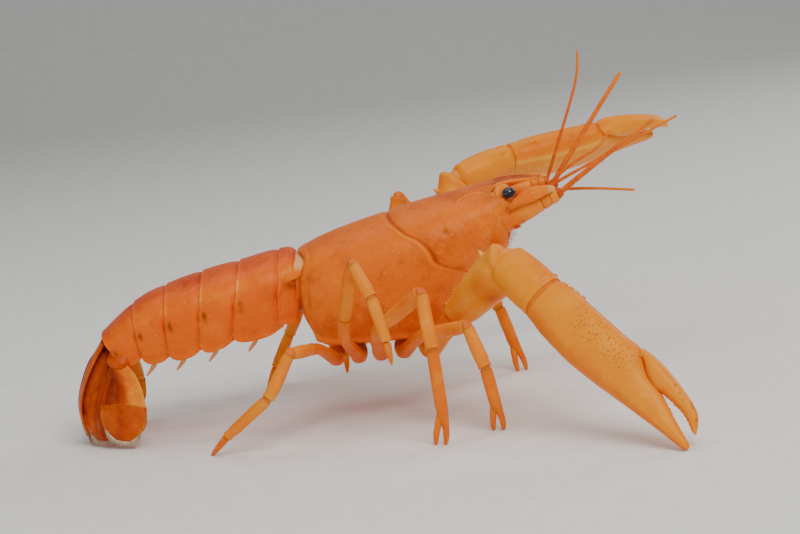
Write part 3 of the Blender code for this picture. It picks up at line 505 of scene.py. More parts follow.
def plate(number):
    """One ring of the abdomen with its lobes, closed on the inside."""
    end, *rim = (0.985, 0.99, 0.97) if number == 6 else (1.04, 1.035, 1.0)
    share = np.concatenate(([-0.16], np.linspace(-0.15, end, PLATE_ROWS), rim))
    if number == 1:
        share = np.linspace(0.02, 1.04, PLATE_ROWS + 3)
    lobe = LOBE_DROPS[number - 1] * stations(RING_SHAPE, share)[:, 0]
    swell = stations(SWELL, share)[:, 0] + 0.012 * np.sin(np.pi * share.clip(0, 1))
    swell[-2:] *= (0.985, 0.95)
    top, foot, half = somite(number - 1 + share)
    way, half = unit(top - foot), half * swell
    height = np.linalg.norm(top - foot, axis=1) * (1 + swell) / 2 + lobe
    sizes = [size[:, None] for size in (height, half, height * 0.42, 0 * half, half * 0.93, 1.3 + lobe)]
    side, up = half_dome(PLATE_ARC, PLATE_FLANK, PLATE_SOLE, (1.3, 0.3), *sizes)
    grid = (foot - way * lobe[:, None])[:, None] + way[:, None] * up[..., None]
    grid[..., 1] = side
    rows, columns = grid.shape[:2]
    points, faces = grid.reshape(-1, 3), grid_faces(rows, columns)

    s = np.repeat(share, columns)
    c = np.tile(np.arange(columns), rows)
    arc = 90 * (1 - c / (PLATE_ARC - 1)).clip(0)
    below = ((c - PLATE_ARC + 1) / PLATE_FLANK).clip(0, 1)
    outside = c < PLATE_ARC + PLATE_FLANK
    soft = rough(points, 2.6, 3.0 + number)
    main = ease(s, 0.12, 0.22)
    level = arc - 60 * below
    lift = -0.07 * bell(s, 0.1, 0.04) * ease(below, 0.4, 0.0) + 0.06 * ease(s, 0.1, 0.3)
    lift += 0.06 * bell(s, 0.985, 0.03)
    lift -= 0.1 * bell(arc, 17, 9) * (0.4 + 0.6 * bell(s, 0.5, 0.5)) - 0.1 * bell(below, 0.45, 0.3)
    # The knob of the hinge behind, the socket of the one in front, and the lobe's thick rim
    lift += 0.25 * bell(s, 0.99, 0.07) * bell(level, 4, 6.0) - 0.2 * bell(s, 0.05, 0.07) * bell(level, 5, 6.0)
    lift += 0.05 * soft * main + (0.08 * bell(below, 0.93, 0.06) - 0.04 * bell(below, 0.8, 0.05)) * main
    lift += 0.02 * rough(points, 0.8, 7.0)
    points = points + normals_of(points, faces) * (lift * outside)[:, None]

    tone = 0.44 + 0.07 * soft - 0.26 * ease(arc, 40, 76) + 0.12 * bell(arc, 30, 12)
    tone += (0.24 + 0.16 * soft) * ease(s, 0.985, 1.0) * ease(arc, 12, 24) - 0.1 * (1 - main)
    tone += 0.1 * bell(below, 0.95, 0.08)
    stain = 0.95 * bell(s, 0.9, 0.075) * bell(level - 5 - 40 * (s - 0.9), 0, 6.5)
    if number == 1:
        tone += 0.4 * bell(s, 0.35, 0.3) * bell(arc, 34, 11)
        # Painted shade: a dark brown band below the pale patch of the first ring, where its groove lies in
        # shade
        stain = 0.8 * bell(arc, 13, 6) * ease(s, 0.95, 0.75)
    points, faces, masks = both_halves(
        points, faces, np.isin(c, (0, columns - 1)), tone=tone, stain=stain,
        speck=(0.1 + 0.2 * ease(arc, 20, 60)) * main * outside, skin=0.6 * ease(s, 0.03, -0.1) * (number > 1))

    # Both ends are closed by a curtain from the rim to the middle of the ring
    for row in (0, rows - 1):
        loop = list(range(row * columns, (row + 1) * columns))
        loop += [i + rows * columns for i in reversed(loop[1:-1])]
        faces += [(i, k, len(points)) for i, k in zip(loop, loop[1:] + loop[:1])]
        points = np.vstack((points, points[loop].mean(0)))
        masks = np.vstack((masks, (0.3, 0, 0, 0, 0)))
    return points, faces, masks


def along(points, share):
    """Points at shares of the way along a smooth curve through points."""
    return stations([(i / (len(points) - 1), *point) for i, point in enumerate(points)], share)


def unit(value):
    return value / (np.linalg.norm(value, axis=-1, keepdims=True) + 1e-12)


def across(way, face):
    """The ways across a piece: in the plane of its broad face, and out of that face."""
    thick = unit(face - way * (way * face).sum(-1, keepdims=True))
    return unit(np.cross(thick, way)), thick


def circle(sides, shift=0.0):
    return 2 * np.pi * (np.arange(sides) + shift) / sides


def rounded(count, start=0.5, end=0.5, length=10.0):
    """Shares of the way along a piece, and the shrink that rounds off its two ends.
    start and end are the lengths that the rounding takes."""
    share = 0.5 - 0.5 * np.cos(np.pi * np.linspace(0, 1, count))
    shrink = np.ones(count)
    for size, gap in ((start, share * length), (end, (1 - share) * length)):
        shrink *= np.sqrt(np.clip(1 - (1 - np.clip(gap / size, 0, 1)) ** 2, 0.0009, 1))
    return share, shrink


def limb(path, widths, depths, face, sides=26, share=None, shrink=None, lift=None, paint=None, power=2.3,
         slant=0.0):
    """A skin round a path. lift and paint give the relief and the masks at a share along and an
    angle round. With a shrink the skin is a length of shell, slightly uneven."""
    path, shell = np.asarray(path, float), shrink is not None
    share = share if shell else np.linspace(0, 1, len(path))
    way = unit(np.gradient(path, axis=0))
    wide, thick = across(way, face)
    turn = circle(sides, 0.5)
    x = bulge(np.cos(turn), 2 / power) * np.asarray(widths)[:, None]
    y = bulge(np.sin(turn), 2 / power) * np.asarray(depths)[:, None]
    s, t = share[:, None] + 0 * turn, np.degrees(turn) + 0 * share[:, None]
    rise = 1 + lift(s, t) * shrink[:, None] / (np.hypot(x, y) + 1e-9) if lift else 1
    x, y = x * rise, y * rise
    rings = path[:, None] + wide[:, None] * x[..., None] + thick[:, None] * y[..., None]
    masks = paint(s, t) if paint else {}
    if shell:
        rings += way[:, None] * (slant * np.where(wide[:, 2:] > 0, x, -x) * ease(s, 0.7, 1.0))[..., None]
        soft = rough(rings, 1.6, 2.0)
        rings += (rings - path[:, None]) * (0.012 * soft)[..., None]
        rings[..., 2] = np.maximum(rings[..., 2], 0.0)
        masks["tone"] = masks.get("tone", 0.5) + 0.08 * soft
    return closed(rings, **masks)


def swimmeret(number, side):
    """A two-branched swimming leg under a ring of the abdomen."""
    foot = somite(number - 0.45)[1]
    start, knee, end = (foot + step for step in ((0.4, side * 3.4, 2.4), (0.2, side * 4.4, -1.4),
                                                 (-1.8, side * 4.9, -4.2)))
    share, shrink = rounded(18, 0.3, 0.4, 4.0)
    skins = [limb(along((start, knee), share), 0.55 * shrink, 0.42 * shrink, (1, 0, 0.3), 14,
                  paint=lambda s, t: {"tone": 0.75, "skin": 0.6})]
    share, shrink = rounded(26, 0.3, 0.9, 4.0)
    for lean, reach in ((-0.9, 1.0), (0.7, 0.86)):
        tip = knee + (end - knee) * reach + (0, lean, 0)
        path = along([knee, (knee + tip) / 2 + (0.25, lean * 0.2, 0), tip], share)
        wide = (0.42 + 0.5 * np.sin(np.pi * share) ** 0.8) * shrink
        skins.append(limb(path, wide, 0.13 + 0.1 * (1 - share) * shrink, (1, 0, 0.3), 14,
                          paint=lambda s, t: {"tone": 0.85, "skin": 0.75}))
    return skins


tail_stuff = shell_finish("abdomen shell", (
    (0.0, 0.5, 0.03, 0.001), (0.22, 0.72, 0.08, 0.001), (0.45, 0.85, 0.128, 0.001), (0.7, 0.94, 0.2, 0.002),
    (1.0, 1.0, 0.44, 0.06)), gloss=0.4)
for number in range(1, 7):
    make_piece(f"abdomen_plate_{number}", [plate(number)], tail_stuff, [f"abdomen_{number}"], 70)
    if 2 <= number <= 5:
        legs = [skin for side in SIDES.values() for skin in swimmeret(number, side)]
        make_piece(f"swimmerets_{number}", legs, tail_stuff)

# The skin between carapace and abdomen, with the pale knobs that the first ring turns on
share, shrink = rounded(40, 0.4, 0.4, 6.0)
x = (-14.2 - 6.0 * share)[:, None]
turn = circle(48)
wide = (7.0 + 0.2 * np.sin(9 * x)) * shrink[:, None] * bulge(np.cos(turn), 0.8)
rings = np.stack((x + 0 * turn, wide, 24.6 + 5.1 * shrink[:, None] * bulge(np.sin(turn), 0.8)), -1)
high = ease(rings[..., 2], 25.5, 27.5)
neck = [closed(rings, skin=0.1 + 0.7 * high, tone=0.4 + 0.3 * high)]
share, shrink = rounded(20, 1.0, 1.0, 3.2)
for side in SIDES.values():
    path = (-17.0, side * 7.25, 27.4) + np.array((-3.2, side * 0.15, -0.9)) * share[:, None]
    neck.append(limb(path, 0.8 * shrink, 0.34 * shrink, (0, side, 0.2), 20,
                     paint=lambda s, t: {"tone": 0.66 + 0.12 * s}))
make_piece("abdomen_skin", neck, tail_stuff)

# Tail fan
# A middle plate, the telson, and on either side two broad paddles on one short stalk, all
# bent down so that their fringes touch the floor. The plates are thin horn with a rib down the
# middle. The outer paddle is parted across by a toothed seam. Stiff pale hairs edge them all.
# Middle line, half widths and thicknesses of each plate
TELSON = (((-53.0, 0, 17.9), (-56.4, 0, 13.0), (-58.5, 0, 7.6), (-58.3, 0, 2.4), (-57.7, 0, -0.4)),
          (4.0, 4.5, 4.5, 4.0, 3.0), (1.6, 1.2, 0.9, 0.8, 0.7))
INNER_FAN = (((-51.5, 2.6, 16.0), (-53.0, 3.9, 12.6), (-54.5, 5.3, 8.0), (-54.8, 5.6, 3.0),
              (-54.6, 5.5, -0.4)),
             (1.3, 2.4, 3.7, 3.9, 2.8), (1.1, 0.9, 0.8, 0.8, 0.7))
OUTER_FAN = {
    "R": ((-51.5, 6.0, 14.1), (-50.2, 7.6, 12.2), (-50.2, 8.9, 8.2), (-50.9, 8.8, 3.4), (-51.5, 8.5, -0.4)),
    "L": ((-51.5, 6.0, 14.1), (-51.3, 8.1, 12.2), (-51.6, 9.7, 8.2), (-52.1, 9.7, 3.4), (-52.5, 9.4, -0.4)),
}
OUTER_FAN_SIZES = ((1.4, 2.9, 4.1, 4.2, 2.6), (1.9, 1.1, 0.9, 0.8, 0.7))
INNER_FAN_TURN, OUTER_FAN_TURN = math.radians(58), {"R": math.radians(74), "L": math.radians(46)}
TELSON_CUP, FAN_CUP = 0.5, 0.3
BLADE_ROWS, BLADE_SIDES, BLADE_END, SEAM = 96, 64, 0.865, 0.53
FRINGE_LENGTH, SIDE_HAIRS, EDGE_HAIRS, END_HAIRS = 1.15, 50, 190, 70
HAIR_PATCH, HAIR_FLOOR = 0.003, 0.08


def blade_frame(spec, side, turn, share):
    """Middle, ways along, across and out of the face, half width, thickness and nearness to the
    end of a plate, at shares along it."""
    points = np.array(spec[0]) * (1, side, 1)
    way = unit(along(points, share + 0.04) - along(points, share - 0.04))
    wide, thick = across(way, (-math.cos(turn), side * math.sin(turn), 0.0))
    half, depth = along(np.transpose(spec[1:]), share).T
    end = np.clip((share - 0.6) / (BLADE_END - 0.6), 0, 1)
    return along(points, share), way, wide, thick, half * (1.0 - 0.66 * end**2.2), depth, end


def blade(spec, side, turn, cup, seam=False):
    """One plate of the fan with its rib, edges, seam and painted masks."""
    share = np.linspace(0.0, BLADE_END, BLADE_ROWS)
    middle, way, wide, thick, half, depth, end = blade_frame(spec, side, turn, share)
    depth = depth * 0.4 * np.sqrt(np.clip(1 - end**6, 0.06, 1))
    s, a = share[:, None], circle(BLADE_SIDES, 0.5)
    t, lift = np.cos(a)[None, :], bulge(np.sin(a), 0.8)[None, :]
    rib = 0.3 * bell(t, 0.0, 0.11) - 0.1 * bell(np.abs(t), 0.24, 0.09)
    rib = rib * ease(s, 0.9, 0.74) * ease(s, 0.08, 0.2)
    ray = 0.045 * np.cos(46 * t) * ease(s, SEAM if seam else 0.45, 0.8) * (1 - t**4)
    edge = -0.14 * bell(np.abs(t), 0.86, 0.06) + 0.08 * bell(np.abs(t), 0.96, 0.05)
    seam_line = SEAM - 0.03 * (1 - t**2)
    fall = 0.22 * ease(s - seam_line, -0.004, 0.012) if seam else 0.0
    raised = np.where(lift > 0, rib + ray + edge - fall, -0.4 * ray - 0.5 * rib)
    out = -cup * t**2 * np.minimum(1, s * 2) + depth[:, None] * lift + raised
    rings = middle[:, None] + wide[:, None] * (half[:, None] * t)[..., None] + thick[:, None] * out[..., None]
    rings[..., 2] = np.maximum(rings[..., 2], 0.0)
    tone = 0.4 + 0.1 * rough(rings, 2.4, 11.0) - 0.12 * bell(t, 0, 0.3) + 0.14 * ease(np.abs(t), 0.7, 1.0)
    stain = 0.12 * bell(np.abs(t), 0.24, 0.1) * ease(s, 0.9, 0.6)
    if seam:
        past = ease(s - seam_line, -0.01, 0.02)
        tone += (0.36 * ease(-t * side, 0.05, 0.3) - 0.24 * ease(t * side, 0.0, 0.4)) * (1 - past)
        tone += 0.14 * bell(s, seam_line, 0.012) + 0.08 * past
        stain = stain + 0.3 * bell(s, seam_line + 0.012, 0.008)
    skins = [closed(rings, tone=tone, stain=stain, speck=0.1)]
    # Teeth along the seam, and a spine on either edge
    for k in np.linspace(-0.9, 0.9, 19) if seam else ():
        row = int(np.searchsorted(share, SEAM - 0.03 * (1 - k * k) - 0.004))
        root = middle[row] + wide[row] * half[row] * k + thick[row] * (depth[row] - cup * k * k - 0.1)
        tip = root + way[row] * (0.36 + 0.1 * math.sin(9 * k)) + thick[row] * 0.08
        skins.append(thorn(root, tip, 0.12, 6, 4, tone=0.66))
    row = int(np.searchsorted(share, SEAM - 0.01 if seam else 0.62))
    for lean in (1, -1):
        root = middle[row] + wide[row] * half[row] * lean * 0.95 - thick[row] * cup
        skins.append(thorn(root, root + way[row] * 0.95 + wide[row] * 0.34 * lean, 0.26, 8, 5, tone=0.55))
    return skins


def growth_tree(name, sizes):
    """An empty tree of geometry nodes with the named sizes as its inputs."""
    tree = bpy.data.node_groups.new(name, "GeometryNodeTree")
    tree.interface.new_socket("Geometry", in_out="INPUT", socket_type="NodeSocketGeometry")
    for label, value in sizes.items():
        kind = "NodeSocketInt" if isinstance(value, int) else "NodeSocketFloat"
        tree.interface.new_socket(label, in_out="INPUT", socket_type=kind).default_value = value
    tree.interface.new_socket("Geometry", in_out="OUTPUT", socket_type="NodeSocketGeometry")
    nodes = Nodes(tree)
    return nodes, nodes("NodeGroupInput").node.outputs


def finish_tree(nodes, geometry, finish):
    """Ends a tree with real geometry in one material."""
    real = nodes("GeometryNodeRealizeInstances", {"Geometry": geometry})
    done = nodes("GeometryNodeSetMaterial", {"Geometry": real, "Material": finish})
    nodes.feed(nodes.tree.nodes.new("NodeGroupOutput"), {0: done})
    return nodes.tree


def store(nodes, geometry, name, value, kind="FLOAT", domain="POINT"):
    return nodes("GeometryNodeStoreNamedAttribute", {"Geometry": geometry, "Name": name, "Value": value},
                 data_type=kind, domain=domain)


def grow(name, base, tree, sizes, nodes=()):
    """Runs a tree on a mesh or curve and keeps the result as one plain mesh piece."""
    seedling = bpy.data.objects.new(name, base)
    bpy.context.scene.collection.objects.link(seedling)
    growth = seedling.modifiers.new("growth", "NODES")
    growth.node_group = tree
    for socket in tree.interface.items_tree:
        if socket.in_out == "INPUT" and socket.name in sizes:
            growth[socket.identifier] = sizes[socket.name]
    bpy.context.view_layer.update()
    graph = bpy.context.evaluated_depsgraph_get()
    mesh = bpy.data.meshes.new_from_object(seedling.evaluated_get(graph))
    bpy.data.objects.remove(seedling)
    mesh.name = name
    mesh.shade_smooth()
    show(name, mesh, nodes)


def bristle_finish():
    """Dry, slightly clear bristle, each hair with its own shade."""
    finish, nodes, place = new_finish("pale bristle")
    tint = nodes.sway(nodes.cloud(place, 0.9, 2.0), 0.5, nodes.mask("tint"))
    colour = nodes.ramp(tint, (0.0, 0.55, 0.16, 0.02), (0.3, 0.6, 0.34, 0.16), (0.9, 0.8, 0.66, 0.48))
    nodes.surface(colour, {"Roughness": 0.55, "Subsurface Weight": 0.15, "Subsurface Scale": 0.4 * MM})
    return finish


def bristle_tree(finish):
    """Stands one tapering three-sided hair on each point, along its own way."""
    nodes, given = growth_tree("bristles", {"Thickness": 0.00004, "Patch": HAIR_PATCH})
    lie, patch, reach = (
        nodes("GeometryNodeInputNamedAttribute", {"Name": key}, data_type=kind)
        for key, kind in (("lie", "FLOAT_VECTOR"), ("patch", "FLOAT_VECTOR"), ("reach", "FLOAT")))
    cone = nodes("GeometryNodeMeshCone", {"Vertices": 3, "Side Segments": 2, "Radius Top": 0.25,
                                          "Radius Bottom": 1.0, "Depth": 1.0}, fill_type="TRIANGLE_FAN")
    turn = nodes("FunctionNodeAlignRotationToVector", {"Vector": lie}, axis="Z")
    size = nodes("ShaderNodeCombineXYZ", {"X": given["Thickness"], "Y": given["Thickness"], "Z": reach})
    put = nodes("GeometryNodeInstanceOnPoints", {
        "Points": given["Geometry"], "Instance": cone, "Rotation": turn, "Scale": size})
    real = nodes("GeometryNodeRealizeInstances", {"Geometry": put})
    middle = nodes("ShaderNodeVectorMath", {0: cone.node.outputs["UV Map"], 1: (0.5, 0.5, 0.0)},
                   operation="SUBTRACT")
    small = nodes("ShaderNodeVectorMath", {0: middle, "Scale": given["Patch"]}, operation="SCALE")
    patch = nodes("ShaderNodeVectorMath", {0: small, 1: patch}, operation="ADD")
    return finish_tree(nodes, store(nodes, real, "OFBake", patch, "FLOAT2", "CORNER"), finish)


def plant_bristles(name, hairs, thickness=0.04):
    """One piece of hairs, each given as its root, way, length, place in OFBake, and shade."""
    roots, ways, lengths, patches, tints = (np.array(column, float) for column in zip(*hairs))
    # Where a hair would reach below the floor it bends away and ends on it
    roots[:, 2] = np.maximum(roots[:, 2], HAIR_FLOOR)
    tips = roots + unit(ways) * lengths[:, None]
    tips[:, 2] = np.maximum(tips[:, 2], HAIR_FLOOR)
    reach = np.linalg.norm(tips - roots, axis=1)
    base = bpy.data.meshes.new(name)
    base.from_pydata(((roots - CENTRE) * MM).tolist(), [], [])
    patches = np.column_stack((patches.clip(0.002, 0.998), 0 * reach))
    for key, values, kind, field in (("lie", unit(tips - roots), "FLOAT_VECTOR", "vector"),
                                     ("patch", patches, "FLOAT_VECTOR", "vector"),
                                     ("reach", reach * MM, "FLOAT", "value"),
                                     ("tint", tints, "FLOAT", "value")):
        base.attributes.new(key, kind, "POINT").data.foreach_set(field, values.ravel().astype(np.float32))
    grow(name, base, bristle_growth, {"Thickness": thickness * MM})


def fringe(spec, side, turn, cup, start, draw):
    """Hairs along the free edge of a plate, fanning out from it."""
    last, found = BLADE_END - 0.004, []
    share = np.concatenate((np.linspace(0.45, 0.76, SIDE_HAIRS), np.linspace(0.76, last, EDGE_HAIRS),
                            np.full(END_HAIRS, last)))
    middle, way, wide, thick, half = blade_frame(spec, side, turn, share)[:5]
    for k, s in enumerate(share):
        stage = int(k >= SIDE_HAIRS) + int(k >= SIDE_HAIRS + EDGE_HAIRS)
        for lean in (-1, 1) if stage < 2 else (draw.uniform(-1, 1),):
            root = middle[k] + wide[k] * half[k] * lean * 0.97 - thick[k] * cup * lean**2
            reach = FRINGE_LENGTH * draw.uniform(0.72, 1.08) * (0.14 + 0.86 * ease(s, 0.72, 0.83))
            lie = way[k] * (0.85, 1.1, 1.1)[stage] + wide[k] * lean * (1.0, 0.6, 0.4)[stage]
            lie = unit(lie + thick[k] * draw.uniform(-0.2, 0.2))
            patch = (start + 0.075 * (1 + lean), 0.05 + 0.3 * s)
            found.append((root, lie, reach, patch, draw.uniform(0.35, 0.9) * ease(s, 0.66, 0.82)))
    return found


fan_stuff = shell_finish("tail fan shell", (
    (0.0, 0.24, 0.013, 0.001), (0.25, 0.42, 0.035, 0.001), (0.5, 0.62, 0.08, 0.001),
    (0.75, 0.86, 0.19, 0.003), (1.0, 0.98, 0.38, 0.03)), gloss=0.36, mottle=0.14, warmth=0.3)
bristle_growth = bristle_tree(bristle_finish())
draw = np.random.default_rng(41)
# The flesh at the telson's root fills the space between the paddles' stalks
share, shrink = rounded(30, 1.5, 4.0, 14.0)
path = along([(-51.2, 0, 16.6), (-54.0, 0, 12.4), (-56.2, 0, 8.0), (-56.6, 0, 3.6)], share)
flesh = limb(path, 4.4 * shrink, 2.3 * shrink, (-1, 0, 0), 30,
             paint=lambda s, t: {"tone": 0.3, "stain": 0.15})
make_piece("telson_plate", blade(TELSON, 1, 0.0, TELSON_CUP) + [flesh], fan_stuff, ["telson"])
fringes = fringe(TELSON, 1, 0.0, TELSON_CUP, 0.02, draw)
# The stalk that carries both paddles shows as a knob at their root
share, shrink = rounded(26, 1.3, 1.2, 4.4)
for name, side in SIDES.items():
    inner, outer = (INNER_FAN, side, INNER_FAN_TURN, FAN_CUP), ((OUTER_FAN[name], *OUTER_FAN_SIZES), side,
                                                               OUTER_FAN_TURN[name], FAN_CUP)
    make_piece(f"inner_paddle_{name}", blade(*inner), fan_stuff, [f"uropod_inner_{name}"])
    path = (-49.4, side * 5.4, 17.2) + np.array((-1.5, side * 2.0, -3.0)) * share[:, None]
    knob = limb(path, 1.9 * shrink, 1.0 * shrink, (-0.3, side, 0), 30,
                paint=lambda s, t: {"tone": 0.5, "stain": 0.7 * bell(s, 0.3, 0.07)})
    make_piece(f"outer_paddle_{name}", blade(*outer, seam=True) + [knob], fan_stuff,
               [f"uropod_outer_{name}"])
    start = 0.2 if side < 0 else 0.6
    fringes += fringe(*inner, start, draw) + fringe(*outer, start + 0.2, draw)
plant_bristles("tail_fringe", fringes)

# Granules
# Low round granules of thicker, paler shell stand on the upper half of each ring. They are one
# with the shell that they sit on.
GRANULES_PER_MM2, GRANULE_RADIUS = 0.9, 0.085


def granule_tree(finish):
    """Strews flat granules over a skin, as thickly as its speck mask says."""
    nodes, given = growth_tree("granules", {"Density": 1e6, "Radius": 0.0001, "Seed": 5})
    mask = nodes("GeometryNodeInputNamedAttribute", {"Name": "speck"}, data_type="FLOAT")
    density = nodes.sums("MULTIPLY", mask, given["Density"])
    spots = nodes("GeometryNodeDistributePointsOnFaces", {
        "Mesh": given["Geometry"], "Density": density, "Seed": given["Seed"]})
    grain = nodes("GeometryNodeMeshIcoSphere", {"Radius": 1.0, "Subdivisions": 2})
    grain = store(nodes, store(nodes, grain, "tone", 0.92), "skin", 0.3)
    size = nodes("FunctionNodeRandomValue", {2: 0.6, 3: 1.25, "Seed": given["Seed"]}, 1, data_type="FLOAT")
    size = nodes.sums("MULTIPLY", size, given["Radius"])
    flat = nodes("ShaderNodeCombineXYZ", {"X": size, "Y": size, "Z": nodes.sums("MULTIPLY", size, 0.55)})
    put = nodes("GeometryNodeInstanceOnPoints", {"Points": spots, "Instance": grain, "Scale": flat,
                                                 "Rotation": spots.node.outputs["Rotation"]})
    return finish_tree(nodes, put, finish)


strewn = {"Density": GRANULES_PER_MM2 * 1e6, "Radius": GRANULE_RADIUS * MM, "Seed": 5}
granule_growth = granule_tree(tail_stuff)
for number in range(1, 7):
    plates = bpy.data.objects[f"abdomen_plate_{number}"].data.copy()
    grow(f"abdomen_granules_{number}", plates, granule_growth, strewn)

# Eyes
# Each eye is a shining dark dome of many facets on a short stalk, which swings in the hollow
# of the carapace below the ridge of the rostrum. The stalk is pale shell, with a raised rim
# where the dome is set in.
EYE_ROOT, EYE_AIM = np.array((18.9, -3.9, 36.35)), unit((0.62, -0.76, 0.16))
EYE_RADIUS, EYE_FLATNESS, STALK_LENGTH = 1.3, 0.76, 1.1
UP = (0, 0, 1)


def blob(centre, radii, rows=9, sides=14, **paint):
    """A small rounded knob."""
    swing, turn = np.pi * (np.arange(1, rows) / rows - 0.5)[:, None], circle(sides)
    level = np.cos(swing)
    rings = np.stack((level * np.cos(turn), level * np.sin(turn), np.sin(swing) + 0 * turn), -1)
    return closed(rings * radii + centre, **paint)


def link(points, widths, depths, face, count=60, sides=40, ends=(0.5, 0.5), lift=None, paint=None, power=2.3,
         slant=0.0):
    """One rounded length of shell along control points, with a width and depth for each. slant
    leans its far end, so that the higher edge runs on further than the lower one."""
    points = np.array([*points], float)
    span = np.cumsum(np.append(0, np.linalg.norm(np.diff(points, axis=0), axis=1)))
    share, shrink = rounded(count, *ends, span[-1])
    x, y, z, wide, deep = stations(np.column_stack((span / span[-1], points, widths, depths)), share).T
    return limb(np.stack((x, y, z), 1), wide * shrink, deep * shrink, face, sides, share, shrink, lift, paint,
                power, slant)


def facing(turn, angle, width):
    """1 where a ring's angle is near another, in degrees either way round."""
    return bell((turn - angle + 180) % 360 - 180, 0, width)


def eye_finish():
    """Wet, nearly black cornea with a faint net of facets, violet grey round its rim."""
    finish, nodes, place = new_finish("eye surface")
    rim = nodes.sway(nodes.cloud(place, 1.5, 3.0), 0.5, nodes.mask("tone"))
    colour = nodes.ramp(rim, (0.2, 0.004, 0.006, 0.02), (0.55, 0.012, 0.016, 0.06), (0.85, 0.12, 0.07, 0.13),
                        (1.0, 0.3, 0.16, 0.17))
    nodes.surface(colour, {"Roughness": 0.3, "Coat Weight": 0.5, "Coat Roughness": 0.09},
                  nodes.cells(place, 14.0, 0.25), 0.12, 0.02 * MM)
    return finish


head_stuff = shell_finish("head shell", (
    (0.0, 0.32, 0.02, 0.001), (0.25, 0.66, 0.085, 0.002), (0.5, 0.88, 0.185, 0.004), (0.75, 0.97, 0.3, 0.012),
    (1.0, 1.0, 0.5, 0.1)), gloss=0.4, mottle=0.12, warmth=0.28)
eye_stuff = eye_finish()
for name, side in SIDES.items():
    root, aim = EYE_ROOT * (1, -side, 1), EYE_AIM * (1, -side, 1)
    stalk = [root + aim * STALK_LENGTH * place for place in (-0.9, 0.0, 0.5, 0.95)]
    stalk = link(stalk, (1.3, 1.8, 1.85, 1.5), (1.2, 1.6, 1.65, 1.24), UP, 40, 36, (0.4, 0.5),
                 lambda s, t: 0.06 * bell(s, 0.9, 0.06) - 0.06 * bell(s, 0.62, 0.07),
                 lambda s, t: {"tone": 0.68 + 0.06 * ease(s, 0.3, 0.8)})
    make_piece(f"eye_stalk_{name}", [stalk], head_stuff, [f"eyestalk_{name}"])
    swing, turn = np.radians(np.linspace(-18, 89, 26))[:, None], circle(40)
    wide, up = across(aim, UP)
    ring = np.cos(turn)[:, None] * wide + np.sin(turn)[:, None] * up * EYE_FLATNESS
    rings = np.cos(swing)[..., None] * ring + np.sin(swing)[..., None] * aim
    rim = ease(np.degrees(swing), 16, -8) + 0 * turn
    dome = closed(root + aim * (STALK_LENGTH + 0.6) + rings * EYE_RADIUS, tone=rim)
    make_piece(f"eye_dome_{name}", [dome], eye_stuff, [f"eye_{name}"])

# Feelers
# A long antenna and two short antennules stand on either side of the rostrum. Each is a whip
# of many short rings on a jointed base, and a pointed scale lies beside each antenna.
ANTENNA_BASE = ((18.25, -5.4, 31.4), (20.6, -5.5, 32.5), (23.4, -5.5, 33.7), (26.0, -5.5, 34.7),
                (28.4, -5.5, 35.5))
ANTENNA_SCALE = ((19.6, -7.7, 34.2), (21.5, -7.9, 35.5), (23.5, -7.9, 36.3), (25.5, -7.7, 36.7),
                 (27.9, -7.2, 37.0))
ANTENNA_COLLAR = ((27.9, -5.5, 35.3), (28.5, -5.55, 35.65), (29.2, -5.7, 36.1))
ANTENNULE_BASE = ((18.3, -2.0, 34.3), (20.5, -2.0, 34.8), (23.5, -2.0, 35.4), (26.4, -2.0, 35.9))
ANTENNULE_UPPER = ((19.4, -2.5, 36.2), (21.8, -2.5, 36.7), (24.2, -2.1, 37.1), (26.5, -1.7, 37.4))
FEELERS = {
    "antenna_R": ((28.7, -5.5, 35.7), (34.2, -7.0, 39.6), (39.6, -8.0, 43.2), (45.5, -10.0, 47.1)),
    "antenna_L": ((28.6, 5.5, 36.0), (34.3, 6.5, 43.4), (38.6, 7.3, 48.9), (42.5, 8.0, 53.8)),
    "outer_R": ((27.0, -1.7, 36.3), (31.0, -1.8, 38.1), (36.5, -2.0, 40.4), (43.6, -2.5, 43.5),
                (50.3, -3.0, 46.4)),
    "inner_R": ((27.0, -2.4, 35.7), (30.0, -3.4, 35.9), (34.0, -5.0, 35.8), (37.8, -6.6, 35.5),
                (41.4, -8.0, 35.1)),
    "outer_L": ((27.0, 1.7, 36.4), (29.6, 1.2, 43.0), (32.9, 0.2, 51.4), (34.2, 0.0, 55.6),
                (34.6, 0.0, 59.2)),
    "inner_L": ((27.0, 2.4, 35.9), (31.6, 3.0, 39.0), (34.5, 3.6, 40.4), (36.9, 4.0, 41.6),
                (39.3, 4.0, 44.3)),
}
# Root and tip radius and length of one ring
ANTENNA_SIZES, ANTENNULE_SIZES = (0.5, 0.36, 0.34), (0.3, 0.22, 0.26)


